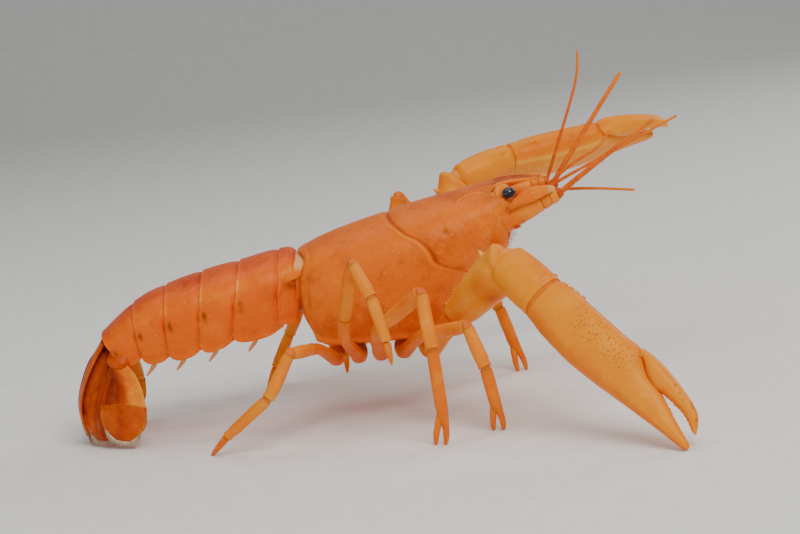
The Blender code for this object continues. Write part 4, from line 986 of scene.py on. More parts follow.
def whip_tree(finish):
    """A tapering whip of short rings along a curve, each ring swelling a little in its middle."""
    nodes, given = growth_tree("ringed whip", {"Root Radius": 0.0005, "Tip Radius": 0.00036, "Ring": 0.0003})
    sums = nodes.sums
    fine = nodes("GeometryNodeCurveLength", {"Curve": given["Geometry"]})
    count = sums("CEIL", sums("DIVIDE", fine, given["Ring"]))
    points = nodes("GeometryNodeResampleCurve",
                   {"Curve": given["Geometry"], "Count": sums("MULTIPLY_ADD", count, 6.0, 1.0)})
    share = nodes("GeometryNodeSplineParameter", out="Factor")
    phase = sums("FRACT", sums("MULTIPLY", share, count))
    bead = sums("MULTIPLY_ADD", sums("SINE", sums("MULTIPLY", phase, math.pi)), 0.16, 0.9)
    taper = nodes("ShaderNodeMapRange", {"Value": share, "To Min": given["Root Radius"],
                                         "To Max": given["Tip Radius"]})
    blunt = sums("SQRT", sums("SUBTRACT", 1.0, sums("POWER", share, 120.0)))
    mark = store(nodes, store(nodes, points, "ring", phase), "reach", share)
    circle_curve = nodes("GeometryNodeCurvePrimitiveCircle", {"Resolution": 12, "Radius": 1.0})
    skin = nodes("GeometryNodeCurveToMesh", {
        "Curve": mark, "Profile Curve": circle_curve, "Fill Caps": True,
        "Scale": sums("MULTIPLY", sums("MULTIPLY", taper, bead), blunt)})
    return finish_tree(nodes, skin, finish)


def feeler_finish():
    """Thin tough skin: each ring red orange, with a dark line at its root and a pale far rim."""
    finish, nodes, place = new_finish("ringed feeler skin")
    cloud, phase = nodes.cloud(place, 0.7, 4.0), nodes.mask("ring")
    body = nodes.ramp(nodes.mask("reach"), (0.0, 0.7, 0.085, 0.001), (0.5, 0.8, 0.12, 0.001),
                      (1.0, 0.9, 0.24, 0.01))
    body = nodes.blend(nodes.steps(cloud, 0.4, 0.7), body, (0.86, 0.18, 0.002))
    for low, high, amount, colour in ((0.28, 0.0, 0.7, (0.22, 0.02, 0.002)),
                                      (0.7, 1.0, 0.35, (0.9, 0.34, 0.05))):
        body = nodes.blend(nodes.sums("MULTIPLY", nodes.steps(phase, low, high), amount), body, colour)
    nodes.surface(body, {"Roughness": 0.5, "Specular IOR Level": 0.35, "Specular Tint": (1.0, 0.5, 0.2, 1)},
                  nodes.sums("MULTIPLY", cloud, 0.05), 0.6)
    return finish


def whip(name, points, sizes, node):
    """A feeler along a smooth curve through its points."""
    curve = bpy.data.curves.new(name, "CURVE")
    curve.dimensions = "3D"
    path = (along(points, np.linspace(0, 1, 60)) - CENTRE) * MM
    spline = curve.splines.new("POLY")
    spline.points.add(len(path) - 1)
    spline.points.foreach_set("co", np.column_stack((path, np.ones(len(path)))).ravel())
    sizes = {label: size * MM for label, size in zip(("Root Radius", "Tip Radius", "Ring"), sizes)}
    grow(name, curve, whip_growth, sizes, [node])


def segment_lift(s, t):
    return 0.05 * bell(s, 0.9, 0.06) - 0.03 * bell(s, 0.74, 0.08) + 0.03 * facing(t, 270, 20)


def jointed(points, radii, cuts, shades, squash=1.0):
    """A base of several segments along one path, each tucked into the one before, with thin
    darker seams at both ends and a paler far rim."""
    skins = []
    for (start, end), shade in zip(cuts, shades):
        share = np.linspace(start, end, 5)
        sizes = np.interp(share, np.linspace(0, 1, len(radii)), radii) * (0.99, 1.0, 1.0, 0.99, 0.95)
        skins.append(link(
            along(points, share), sizes, sizes * squash, UP, 40, 34, (0.3, 0.24), segment_lift,
            lambda s, t: {"tone": shade - 0.18 * (bell(s, 0.02, 0.035) + bell(s, 1.0, 0.025))
                          + 0.08 * bell(s, 0.88, 0.07), "stain": 0.2 * bell(s, 0.99, 0.02), "speck": 0.12}))
    return skins


def ribs(t):
    return np.cos(20 * np.cos(np.radians(t)))


def scale_lift(s, t):
    return 0.025 * ribs(t) * ease(s, 0.1, 0.3) + 0.08 * (facing(t, 0, 14) + facing(t, 180, 14))


def scale_paint(s, t):
    """Fine ribs, one dark edge and one pale one, and a softer tip."""
    tone = 0.5 + 0.05 * ribs(t) - 0.3 * facing(t, 0, 14) + 0.2 * facing(t, 180, 12) + 0.3 * ease(s, 0.8, 1.0)
    return {"tone": tone, "skin": 0.75 * ease(s, 0.75, 0.95), "speck": 0.06}


whip_growth = whip_tree(feeler_finish())
for name, side in SIDES.items():
    base, blade_line, collar, foot, upper = (np.array(points) * (1, -side, 1) for points in (
        ANTENNA_BASE, ANTENNA_SCALE, ANTENNA_COLLAR, ANTENNULE_BASE, ANTENNULE_UPPER))
    skins = jointed(base, (1.9, 1.85, 1.7, 1.45, 1.15), ((0.0, 0.34), (0.3, 0.7), (0.68, 0.86), (0.84, 1.0)),
                    (0.5, 0.7, 0.6, 0.8))
    skins.append(thorn((20.4, side * 6.7, 30.8), (21.6, side * 7.0, 30.9), 0.34, 9, 6, tone=0.2))
    # The short red ring that the whip turns in
    skins.append(link(collar, (0.95, 0.95, 0.75), (0.95, 0.95, 0.75), UP, 24, 28, (0.3, 0.4), None,
                      lambda s, t: {"tone": 0.22, "stain": 0.3 * bell(s, 0.1, 0.1)}))
    make_piece(f"antenna_foot_{name}", skins, head_stuff, [f"antenna_base_{name}"])
    whip(f"antenna_whip_{name}", FEELERS[f"antenna_{name}"], ANTENNA_SIZES, f"antenna_{name}")

    skins = [link(blade_line, (0.3, 0.75, 1.15, 0.9, 0.25), (0.24, 0.32, 0.34, 0.3, 0.2), (0, side, 0.1),
                  70, 72, (0.4, 0.8), scale_lift, scale_paint, 3.2)]
    make_piece(f"antenna_scale_plate_{name}", skins, head_stuff, [f"antenna_scale_{name}"])

    skins = jointed(foot, (1.0, 1.0, 0.95, 0.8), ((0.0, 0.56), (0.54, 0.82), (0.8, 1.0)),
                    (0.4, 0.44, 0.5), 0.9)
    skins += jointed(upper, (1.05, 1.1, 1.0, 0.85), ((0.0, 0.66), (0.64, 0.84), (0.82, 1.0)),
                     (0.62, 0.5, 0.56), 0.9)
    make_piece(f"antennule_foot_{name}", skins, head_stuff, [f"antennule_base_{name}"])
    for kind in ("outer", "inner"):
        key = f"{kind}_{name}"
        whip(f"antennule_whip_{key}", FEELERS[key], ANTENNULE_SIZES, f"antennule_{key}")

# Mouth
# The outer pair of mouth legs folds up over the jaws, in stout joints edged with bristles.
# Two smaller palps lie beside each, and a dark red face plate closes the head behind them.
MAXILLIPED = ((7.4, -3.2, 15.2), (10.4, -3.1, 17.8), (14.0, -2.9, 21.6), (17.4, -2.7, 26.0),
              (19.6, -2.4, 30.2))
BEARD_HAIRS = 150
draw = np.random.default_rng(29)
beard = []
for name, side in SIDES.items():
    path = np.array(MAXILLIPED) * (1, -side, 1)
    skins = jointed(path, (1.2, 1.4, 1.3, 1.2, 0.7),
                    ((0.0, 0.34), (0.32, 0.62), (0.6, 0.8), (0.78, 0.92), (0.9, 1.0)),
                    (0.5, 0.56, 0.6, 0.6, 0.5), 0.85)
    for lean in (0.0, 1.6):
        palp = path[1:4] + ((1.6, side * (1.2 + lean), 1.4), (1.0, side * (1.4 + lean * 0.6), 2.2),
                            (0.2, side * (1.0 + lean * 0.4), 2.0))
        skins.append(link(palp, (0.6, 0.6, 0.3), (0.5, 0.5, 0.25), UP, 40, 18, (0.3, 0.6),
                          lambda s, t: 0.05 * np.sin(40 * s), lambda s, t: {"tone": 0.22, "stain": 0.2}))
    make_piece(f"mouth_leg_{name}", skins, head_stuff, [f"maxilliped_{name}"])
    for i in range(BEARD_HAIRS):
        share = draw.uniform(0.12, 0.98)
        spot = along(path, share)
        way = unit(along(path, share + 0.03) - spot + 1e-6)
        lean = unit((0.8, side * draw.uniform(-1.0, 0.4), -0.5))
        beard.append((spot + lean * 0.95, unit(lean + way * 0.8), draw.uniform(0.6, 1.3),
                      (0.3 + 0.2 * share + (0.3 if side < 0 else 0.0), 0.4 + 0.05 * i / BEARD_HAIRS),
                      draw.uniform(0.1, 0.7)))
face = [link([(9.6, 0, 21.2), (13.0, 0, 24.4), (16.0, 0, 29.2), (17.2, 0, 33.8)], (4.6, 5.2, 5.4, 5.0),
             (1.3, 1.3, 1.2, 1.1), (1, 0, -0.4), 60, 40, (1.0, 1.0),
             lambda s, t: 0.12 * np.sin(40 * s) * facing(t, 90, 60),
             lambda s, t: {"tone": 0.08, "stain": 0.3})]
for side in SIDES.values():
    # The hollow behind the eye, painted darker and browner towards its back as shade deep in it, the cheek's
    # inner wall, and its front fold down to the mouth legs
    for points, widths, depths, way, sizes, paint in (
            (((15.6, 2.6, 35.6), (17.6, 3.8, 35.3), (19.4, 5.4, 34.0)), (2.0, 2.2, 1.4), (1.5, 1.7, 1.1), UP,
             (30, 30, (0.8, 0.9)), lambda s, t: {"tone": 0.4 + 0.4 * s, "stain": 0.15 * (1 - s)}),
            (((15.4, 5.0, 27.4), (17.2, 5.2, 29.6), (18.2, 5.4, 32.4)), (1.3, 1.6, 1.5), (1.2, 1.4, 1.3), UP,
             (30, 30, (0.8, 0.8)), lambda s, t: {"tone": 0.4, "stain": 0.1}),
            (((17.1, 5.8, 26.2), (17.4, 6.3, 29.0), (17.6, 6.5, 31.5), (17.6, 6.1, 33.4)),
             (1.2, 1.6, 1.4, 1.0), (0.8, 0.9, 0.9, 0.7), (0, side, 0), (40, 30, (0.8, 0.8)),
             lambda s, t: {"tone": 0.52, "speck": 0.1})):
        face.append(link(np.array(points) * (1, side, 1), widths, depths, way, *sizes, None, paint))
make_piece("face_plate", face, head_stuff)
plant_bristles("mouth_bristles", beard, 0.035)

# Claws
# The first pair of legs ends in great pincers: a jointed arm, a swollen wrist, and a palm that
# runs out as the fixed finger, with the moving finger hinged on its inner edge. The shell is
# thick and smooth, pitted on the palm, and set with blunt teeth where the fingers meet.
GAP = 0.3
CLAW_COXA_X, COXA_END, COXA_SLOPE = 3.8, (7.3, 11.5), -0.16
# Ischium end, elbow, wrist, finger tip, and the way the back of the claw looks
ARMS = {
    "R": ((7.8, -15.0, 17.6), (17.4, -25.0, 28.0), (22.4, -31.0, 22.9), (42.6, -51.0, 0.0),
          (0.0, -0.985, 0.17)),
    "L": ((7.6, 16.2, 17.8), (12.5, 21.4, 35.8), (21.7, 26.0, 37.7), (54.7, 40.0, 39.1), (0.0, 0.71, 0.70)),
}
# Place along the claw, outer edge, inner edge, half thickness
PALM = (
    (0.0, -3.3, 3.3, 2.3), (2.5, -4.2, 4.2, 2.8), (6.0, -4.5, 4.5, 3.1), (12.0, -4.5, 4.8, 3.1),
    (15.5, -4.1, 4.95, 2.95), (17.8, -3.8, 5.1, 2.75), (18.8, -3.6, 4.6, 2.6), (20.3, -3.4, 3.65, 2.35),
    (22.0, -3.15, 2.8, 2.1), (25.7, -2.65, 2.25, 1.6), (28.5, -2.25, 1.35, 1.35), (33.0, -1.75, 0.1, 0.95),
    (35.0, -1.5, -0.35, 0.6),
)
FINGER = (
    (18.2, 4.7, 5.42, 1.5), (20.3, 4.02, 5.72, 1.85), (22.0, 3.17, 5.8, 2.0), (25.7, 2.45, 5.5, 1.75),
    (28.0, 2.6, 5.15, 1.5), (30.2, 2.5, 4.7, 1.25), (32.2, 2.0, 3.9, 0.95), (34.2, 1.1, 1.9, 0.4),
)
CROTCH, TOOTH_SPACING, FINGER_SPOT = 25.7, 0.82, math.sqrt(0.05)
FINGER_SHUT = {"R": 0.0, "L": 0.09}
FINGER_STRETCH = {"R": (0.0, 0.0), "L": (-0.33, 0.07)}


def stub(x, side):
    """The end of the stub that a leg stands on, and the way the stub points."""
    return np.array((x, side * COXA_END[0], COXA_END[1])), unit((0, side, COXA_SLOPE))


def claw_axes(name):
    """Along the claw, across it towards the moving finger, and out of its back."""
    wrist, tip, face = np.array(ARMS[name][2:])
    ahead = unit(tip - wrist)
    back = unit(face - ahead * face.dot(ahead))
    return ahead, np.cross(back, ahead) * -SIDES[name], back


def claw_part(name, root, table, count, sides, finger):
    """The palm with its fixed finger, or the moving finger, with teeth, grooves and pits."""
    ahead, inner, back = claw_axes(name)
    first, last = table[0][0], table[-1][0]
    s = (first + (last - first) * (np.linspace(0, 1, count) + rounded(count)[0]) / 2)[:, None]
    gap = np.minimum((s - first) / 0.45, last - s)
    shrink = np.sqrt(np.clip(1 - (1 - np.clip(gap, 0, 1)) ** 2, 0.001, 1))
    low, high, depth = np.moveaxis(stations(table, s), -1, 0)
    if finger:
        low = low - (0.32 + 0.2 * ease(s, 20.0, 21.5)) * ease(s, 26.0, 24.4)
    else:
        # Palm and moving finger meet in a seam from the hinge to where they part
        flare, meeting = ease(s, 2.6, 0.0), ease(s, 18.2, 19.2) * ease(s, 26.2, 24.0)
        high = high + 0.12 * meeting + 0.55 * flare + 0.15 * ease(s, 33, 35)
        low, depth = low - 0.55 * flare, depth + 0.3 * flare
    turn = circle(sides, 0.5)
    x, y = bulge(np.cos(turn), 1 / 1.2), bulge(np.sin(turn), 1 / 1.2)
    beyond, middle, inward = np.maximum(0, s - CROTCH), (low + high) / 2, -1 if finger else 1
    shut = FINGER_SHUT[name] * beyond if finger else 0.0
    tooth = np.abs(np.sin(np.pi * s / TOOTH_SPACING)) ** 0.8 * (0.13 + 0.12 * bell(s, 28.6, 0.5))
    u = middle - shut + (high - low) / 2 * x * shrink
    u = u + inward * tooth * ease(inward * x, 0.75, 1.0) * ease(s, 24.5, 27.5) * ease(s, 34.2, 32.5)
    out, below = np.sign(y), y < 0
    ridges = (bell(x, 0.28, 0.16) + bell(x, -0.34, 0.16)) * ease(s, 22, 25) * ease(s, 34, 31)
    v = depth * y * shrink - out * 0.035 * ridges
    if not finger:
        v = v + out * 0.12 * bell(s - 1.3 * (1 - x), 18.1, 1.5) * ease(x, 0.0, 0.9)
    reach = s + FINGER_STRETCH[name][int(finger)] * beyond
    points = root + ahead * reach[..., None] + inner * u[..., None] + back * v[..., None]
    cloud, small = rough(points, 3.4, 5.0), rough(points, 0.8, 8.0)
    swell = back * v[..., None] + inner * (u - middle)[..., None]
    points = points + swell * (0.012 * cloud + 0.005 * small)[..., None]
    points[..., 2] = np.maximum(points[..., 2], 0.0)

    tone = 0.66 + 0.06 * cloud + 0.1 * bell(x, 0.2, 0.6) - 0.2 * ease(-x, 0.45, 1.0)
    tone += -0.06 * ease(x, 0.8, 1.0) + 0.06 * below - 0.12 * ease(s, 0.45, 0.1) - 0.08 * ease(s, 30, 34.5)
    # On the lower face a pale line parts the orange edge from the yellow middle
    tone += below * (0.3 * bell(x, 0.62, 0.07) - 0.16 * ease(x, 0.7, 0.8)) * ease(s, 20, 16)
    if finger:
        pit, stain = 0.12, 0 * tone
        for place, height in ((30.4, 4.5), (31.0, 4.1), (32.8, 3.2), (29.2, 4.0), (28.0, 4.4), (26.6, 4.7)):
            stain += 0.8 * bell(s, place, FINGER_SPOT) * bell(u + shut, height, FINGER_SPOT) * (v > 0)
    else:
        pit = ease(s, 3.5, 9) * ease(s, 21, 18.5) * ease(u, -1.6, 0.6) * ease(u, 4.6, 3.3) * (v > 0)
        seam = np.interp(s, (17.9, 19.9, 21.9, 25.7), (5.2, 4.3, 3.0, 2.3))
        stain = 0.5 * bell(u, seam, 0.16) * ease(s, 17.8, 18.4) * ease(s, 23.0, 21.5)
        stain += 0.12 * ease(s, 0.3, 0.08)
        tone -= 0.2 * bell(s, 18.0, 0.5) * bell(u, 5.0, 0.4)
    return closed(points, tone=tone, stain=stain, pit=pit, speck=0.03)


def arm_paint(s, t):
    blotch, rim = bell(s, 0.62, 0.14) * (facing(t, 118, 34) + 0.6 * facing(t, 70, 22)), bell(s, 0.93, 0.04)
    tone = 0.82 - 0.44 * blotch - 0.3 * ease(s, 0.09, 0.0) - 0.16 * ease(s, 0.8, 0.94)
    return {"tone": tone - 0.12 * facing(t, 180, 40) * (1 - rim), "speck": 0.1, "skin": 0.1 * rim,
            "stain": 0.24 * blotch + 0.3 * bell(s, 0.02, 0.02)}


def arm_lift(s, t):
    """A flare and a dent at the elbow end, and a keel along the toothed edge."""
    keel = 0.16 * (facing(t, 0, 12) + facing(t, 180, 12)) * ease(s, 0.05, 0.2)
    return 0.08 * bell(s, 0.93, 0.03) - 0.07 * bell(s, 0.86, 0.03) + keel + 0.12 * bell(s, 0.03, 0.03)


def wrist_paint(s, t):
    tone = 0.62 + 0.18 * facing(t, 200, 50) - 0.16 * ease(s, 0.965, 0.995) + 0.1 * facing(t, 100, 26)
    return {"tone": tone, "speck": 0.08, "stain": 0.15 * bell(s, 0.99, 0.01)}


def wrist_lift(s, t):
    """A long dent along the back, and a raised far rim with a groove behind it."""
    dent = -0.2 * facing(t, 60, 14) * bell(s, 0.55, 0.3)
    return dent + 0.1 * bell(s, 0.93, 0.04) - 0.07 * bell(s, 0.84, 0.03)


claw_stuff = shell_finish("claw shell", (
    (0.0, 0.45, 0.03, 0.001), (0.25, 0.74, 0.115, 0.001), (0.5, 0.86, 0.205, 0.001),
    (0.75, 0.92, 0.29, 0.001), (1.0, 0.97, 0.44, 0.03)), mottle=0.08, pit_size=0.24, warmth=0.16, grain=0.5)
for name, side in SIDES.items():
    hip, elbow, wrist, _, face = np.array(ARMS[name])
    end, out = stub(CLAW_COXA_X, side)
    start = end + out * GAP
    thigh, arm, forearm = hip - start, elbow - hip, wrist - elbow
    upper_way, wrist_way = unit(arm), unit(forearm)
    ahead, inner, back = claw_axes(name)
    bend, turn = unit(upper_way + wrist_way), unit(wrist_way + ahead)

    skins = [link([start, start + thigh * 0.35, start + thigh * 0.85, hip + arm * 0.09],
                  (1.8, 1.7, 1.9, 2.25), (1.8, 1.7, 1.7, 1.9), face, 50, 36, (0.4, 0.5),
                  paint=lambda s, t: {"tone": 0.62 - 0.3 * bell(s, 0.98, 0.04),
                                      "stain": 0.3 * bell(s, 1.0, 0.03)})]
    path = [*(hip + arm * place for place in (0.06, 0.15, 0.5, 0.85)), elbow + upper_way * 0.6]
    skins.append(link(path, (2.3, 2.6, 3.3, 3.8, 3.6), (1.95, 2.1, 2.5, 2.75, 2.3), face, 90, 64, (0.5, 1.4),
                      arm_lift, arm_paint, slant=0.42))
    wide = across(upper_way, face)[0]
    wide = -wide if wide[2] < 0 else wide
    for i in range(15):
        place, size = 0.1 + 0.05 * i, 0.3 + 0.06 * math.sin(5 * i)
        root = hip + arm * place + wide * (1.86 + 1.6 * place)
        skins.append(thorn(root, root + wide * (0.75 + size) + upper_way * 0.28, size, 8, 5, tone=0.95,
                           skin=0.3))
    root = hip + arm * 0.86 + wide * 3.15
    skins.append(thorn(root, root + wide * 1.85 + upper_way * 0.5, 0.62, 12, 7, tone=0.95, skin=0.3))
    for place, lean in ((0.72, 0.7), (0.9, 1.1)):
        root = hip + arm * place - wide * 2.9 + unit(face) * 0.8
        skins.append(thorn(root, root - wide * lean + upper_way * 0.5, 0.34, 8, 5, tone=0.85))
    make_piece(f"claw_arm_shell_{name}", skins, claw_stuff, [f"claw_arm_{name}"])

    # Soft skin in the elbow and the wrist, and the knobs of the elbow's hinge
    skins = [link([elbow - upper_way * 1.3, elbow, elbow + wrist_way * 1.3], (2.6, 2.6, 2.4), (2.1, 2.0, 2.0),
                  face, 24, 32, (0.6, 0.6), lambda s, t: 0.08 * np.sin(34 * s),
                  lambda s, t: {"skin": 0.2, "tone": 0.6}),
             link([wrist - wrist_way * 0.8, wrist, wrist + ahead * 0.8], (3.66,) * 3, (2.56, 2.52, 2.54),
                  face, 16, 48, (0.3, 0.3), None, lambda s, t: {"tone": 0.46, "stain": 0.1})]
    broad = across(bend, face)[1]
    for lean in (1, -1):
        centre = elbow + broad * 2.5 * lean - wide * 1.1 - upper_way * 1.0
        skins.append(blob(centre, 0.75, tone=0.8, skin=0.2))
        skins.append(blob(centre + broad * 0.62 * lean + upper_way * 0.1, 0.24, 6, 10, stain=1.0))
    make_piece(f"claw_joints_{name}", skins, claw_stuff)

    cuff = [elbow - wrist_way * 0.9, elbow + forearm * 0.3, elbow + forearm * 0.65, wrist + turn * 0.25]
    spur = elbow + forearm * 0.78 + inner * 3.1
    skins = [link(cuff, (3.35, 3.85, 4.0, 3.85), (2.5, 3.1, 3.15, 2.75), face, 76, 60, (1.5, 0.2), wrist_lift,
                  wrist_paint),
             thorn(spur, spur + inner * 1.25 + wrist_way * 1.15, 0.6, 12, 7, tone=0.8),
             thorn(spur - inner * 5.4 + back * 1.2, spur - inner * 6.5 + back * 1.5 + wrist_way * 1.1,
                   0.4, 8, 5, tone=1.0, skin=0.6)]
    make_piece(f"claw_wrist_shell_{name}", skins, claw_stuff, [f"claw_wrist_{name}"])

    root = wrist + ahead * GAP / 2
    skins = [claw_part(name, root, PALM, 210, 76, False)]
    for i in range(8):
        high = 0.7 - 0.1 * i + 0.3 * (i % 2)
        spot = root + ahead * (0.9 + 0.6 * i) + inner * (3.9 + 0.1 * i) + back * high
        skins.append(blob(spot, (0.42 + 0.1 * math.sin(7 * i), 0.24, 0.2), 6, 10, tone=0.84))
    make_piece(f"claw_palm_shell_{name}", skins, claw_stuff, [f"claw_palm_{name}"])

    skins = [claw_part(name, root, FINGER, 120, 52, True)]
    for lean in (1, -1):
        skins.append(blob(root + ahead * 19.2 + inner * 4.35 + back * 1.45 * lean, 0.4, 8, 12, tone=0.5))
    make_piece(f"claw_finger_shell_{name}", skins, claw_stuff, [f"claw_finger_{name}"])

# Breast and walking legs
# Four pairs of slender legs hang from stubs along a narrow breast plate. Each leg is a chain
# of shell tubes with soft skin in the joints. The first two pairs end in small pincers and
# the last two in a single toe. Short bristles stand along the shins.
COXA_X = {2: -1.0, 3: -4.9, 4: -8.8, 5: -12.7}
# Ischium end, knee, ankle, heel and toe, with Y as the distance from the mid-plane
STANCE = {
    "2_R": ((2.2, 15.2, 15.6), (9.9, 23.0, 17.9), (12.1, 25.2, 11.2), (13.2, 25.0, 4.6), (13.3, 24.0, -0.3)),
    "3_R": ((-5.6, 16.8, 17.3), (2.9, 25.0, 24.7), (3.7, 28.2, 15.9), (4.2, 30.0, 5.3), (3.3, 29.6, -0.3)),
    "4_R": ((-10.9, 15.4, 16.8), (-7.8, 24.0, 30.6), (-5.3, 27.0, 25.4), (-3.5, 29.0, 18.0),
            (-3.1, 29.2, 14.0)),
    "5_R": ((-15.4, 14.0, 15.2), (-19.8, 23.0, 16.6), (-24.0, 25.0, 10.0), (-32.0, 21.5, 3.4),
            (-35.4, 19.2, -0.3)),
    "2_L": ((2.2, 15.4, 12.6), (12.8, 21.8, 17.2), (17.4, 20.8, 11.8), (19.5, 18.8, 4.6), (20.4, 17.4, -0.3)),
    "3_L": ((-4.4, 15.4, 16.0), (1.1, 19.0, 34.8), (4.2, 24.0, 29.2), (6.2, 28.5, 21.4), (6.9, 29.6, 16.8)),
    "4_L": ((-9.4, 14.6, 14.2), (-10.6, 27.4, 18.0), (-11.6, 31.4, 11.6), (-12.1, 33.0, 3.9),
            (-12.3, 32.8, -0.3)),
    "5_L": ((-15.0, 14.2, 14.6), (-19.0, 24.0, 16.0), (-22.0, 27.8, 10.0), (-25.6, 29.0, 3.4),
            (-27.5, 28.6, -0.3)),
}
PINCER_LEGS, FINGER_SPREAD = (2, 3), 0.85


def tube_lift(s, t):
    """The far end of a leg's tube flares a little, behind a shallow neck."""
    return 0.11 * bell(s, 0.97, 0.03) - 0.06 * bell(s, 0.88, 0.05) - 0.08 * bell(s, 0.0, 0.05)


def tube_paint(s, t):
    ends = bell(s, 0.0, 0.02) + bell(s, 1.0, 0.02)
    return {"tone": 0.66 - 0.26 * ends + 0.06 * bell(s, 0.9, 0.05) + 0.1 * facing(t, 180, 60) - 0.06 * s,
            "stain": 0.16 * ends, "speck": 0.08, "pit": 0.12}


def root_paint(s, t):
    """The first length of a leg, under the body, is redder."""
    return {"tone": 0.3 + 0.26 * s - 0.2 * bell(s, 1.0, 0.02), "speck": 0.1}


def toe_paint(s, t):
    return {"tone": 0.6 - 0.16 * ease(s, 0.3, 0.8),
            "stain": 0.16 * bell(s, 0.0, 0.03) + 0.2 * ease(s, 0.92, 1.0),
            "speck": 0.1}


def tube(points, widths, depths, face, size, ends=(0.16, 0.16), count=44, paint=tube_paint, lift=tube_lift):
    return link(points, np.array(widths) * size, np.array(depths) * size, face, count, 22, ends, lift, paint)


def joint_skin(centre, before, after, radius, face):
    """The wrinkled skin that shows between two tubes."""
    sizes = (radius * 0.84,) * 3
    return link([centre - before * radius * 0.8, centre, centre + after * radius * 0.8], sizes, sizes, face,
                18, 18, (0.4, 0.4), lambda s, t: 0.04 * np.sin(30 * s),
                lambda s, t: {"skin": 0.1, "tone": 0.36})


def bristles_on(points, face, count, length, cell, draw):
    """Short hairs along a tube, mostly on its two edges."""
    found = []
    for i in range(count):
        share = (i + draw.uniform(0, 1)) / count
        way = unit(along(points, share + 0.05) - along(points, share - 0.05))
        wide, thick = across(way, face)
        turn = draw.choice((0, math.pi)) + draw.normal(0, 0.6)
        side_way = wide * math.cos(turn) + thick * math.sin(turn)
        found.append((along(points, share) + side_way * 0.6, unit(side_way + way * 0.9),
                      length * draw.uniform(0.6, 1.1), (cell[0] + 0.1 * share, cell[1] + 0.02 * turn),
                      draw.uniform(0.4, 1.0)))
    return found


leg_stuff = shell_finish("leg shell", (
    (0.0, 0.45, 0.035, 0.001), (0.25, 0.7, 0.095, 0.002), (0.5, 0.84, 0.175, 0.002),
    (0.75, 0.92, 0.27, 0.006), (1.0, 0.98, 0.46, 0.07)), mottle=0.09, warmth=0.3, pit_size=0.14, grain=0.7)
draw = np.random.default_rng(17)
leg_bristles = []
for key, joints in STANCE.items():
    pair, name = int(key[0]), key[2]
    side = SIDES[name]
    hip, knee, ankle, heel, toe = np.array(joints) * (1, side, 1)
    size = 1.08 if pair in PINCER_LEGS else 1.0
    face = np.array((1, 0.2 * side, 0))
    end, out = stub(COXA_X[pair], side)
    root = end + out * GAP
    step, thigh, shin, foot, claw = hip - root, knee - hip, ankle - knee, heel - ankle, toe - heel
    bend = unit(unit(thigh) + unit(shin))
    skins = [tube([root, root + step * 0.35, root + step * 0.8, hip + thigh * 0.12, hip + thigh * 0.26],
                  (1.2, 1.0, 0.9, 0.98, 0.96), (1.2, 1.05, 1.0, 1.08, 1.05), face, size, paint=root_paint),
             tube([hip + thigh * 0.25, hip + thigh * 0.5, hip + thigh * 0.85, knee - bend * GAP / 2],
                  (0.96, 1.1, 1.05, 0.94), (1.06, 1.26, 1.2, 1.04), face, size, (0.2, 0.3)),
             joint_skin(hip + thigh * 0.255, unit(thigh), unit(thigh), 0.95 * size, face)]
    make_piece(f"leg_{pair}_thigh_{name}", skins, leg_stuff, [f"leg{pair}_upper_{name}"])

    skins = [tube([knee + bend * GAP / 2, knee + shin * 0.32, knee + shin * 0.9, ankle + foot * 0.02],
                  (0.84, 0.94, 1.0, 0.92), (0.92, 1.04, 1.06, 1.0), face, size, (0.3, 0.2)),
             joint_skin(knee, unit(thigh), unit(shin), size, face),
             joint_skin(ankle + foot * 0.02, unit(shin), unit(foot), 0.86 * size, face)]
    hand = [ankle + foot * place for place in (0.03, 0.15, 0.6, 0.95)]
    if pair in PINCER_LEGS:
        apart = across(unit(claw), face)[1] * FINGER_SPREAD
        fixed, moving = ([heel + claw * place + apart * lean for place, lean in rows] for rows in (
            ((0.35, 0.7), (0.75, 1.0), (1.0, 0.9)),
            ((-0.16, -0.35), (0.35, -0.78), (0.75, -1.0), (1.0, -0.9))))
        skins.append(tube(hand + fixed, (0.84, 0.87, 0.88, 0.82, 0.5, 0.4, 0.2),
                          (0.92, 0.96, 0.98, 0.92, 0.56, 0.42, 0.2), face, size, (0.3, 0.8), 60,
                          toe_paint, None))
        skins.append(tube(moving, (0.46, 0.5, 0.4, 0.2), (0.5, 0.54, 0.42, 0.2), face, size, (0.4, 0.8), 36,
                          toe_paint, None))
        tips = (fixed, moving)
    else:
        skins.append(tube([*hand, heel], (0.84, 0.86, 0.86, 0.74, 0.66), (0.92, 0.98, 0.96, 0.82, 0.74),
                          face, size, (0.3, 0.3)))
        skins.append(tube([heel, heel + claw * 0.3, heel + claw * 0.7, toe], (0.6, 0.52, 0.38, 0.14),
                          (0.66, 0.6, 0.42, 0.14), face, size, (0.3, 1.0), 40, toe_paint, None))
        tips = ((heel, toe),)
    make_piece(f"leg_{pair}_shin_{name}", skins, leg_stuff, [f"leg{pair}_lower_{name}"])
    column, row = 0.03 + 0.24 * (pair - 2), 0.55 if side < 0 else 0.8
    leg_bristles += bristles_on((ankle, heel), face, 26, 0.75, (column, row), draw)
    leg_bristles += bristles_on((hip + thigh * 0.3, knee), face, 10, 0.6, (column, row + 0.1), draw)
    for tip in tips:
        leg_bristles += bristles_on(tip, face, 9, 0.5, (column + 0.1, row), draw)

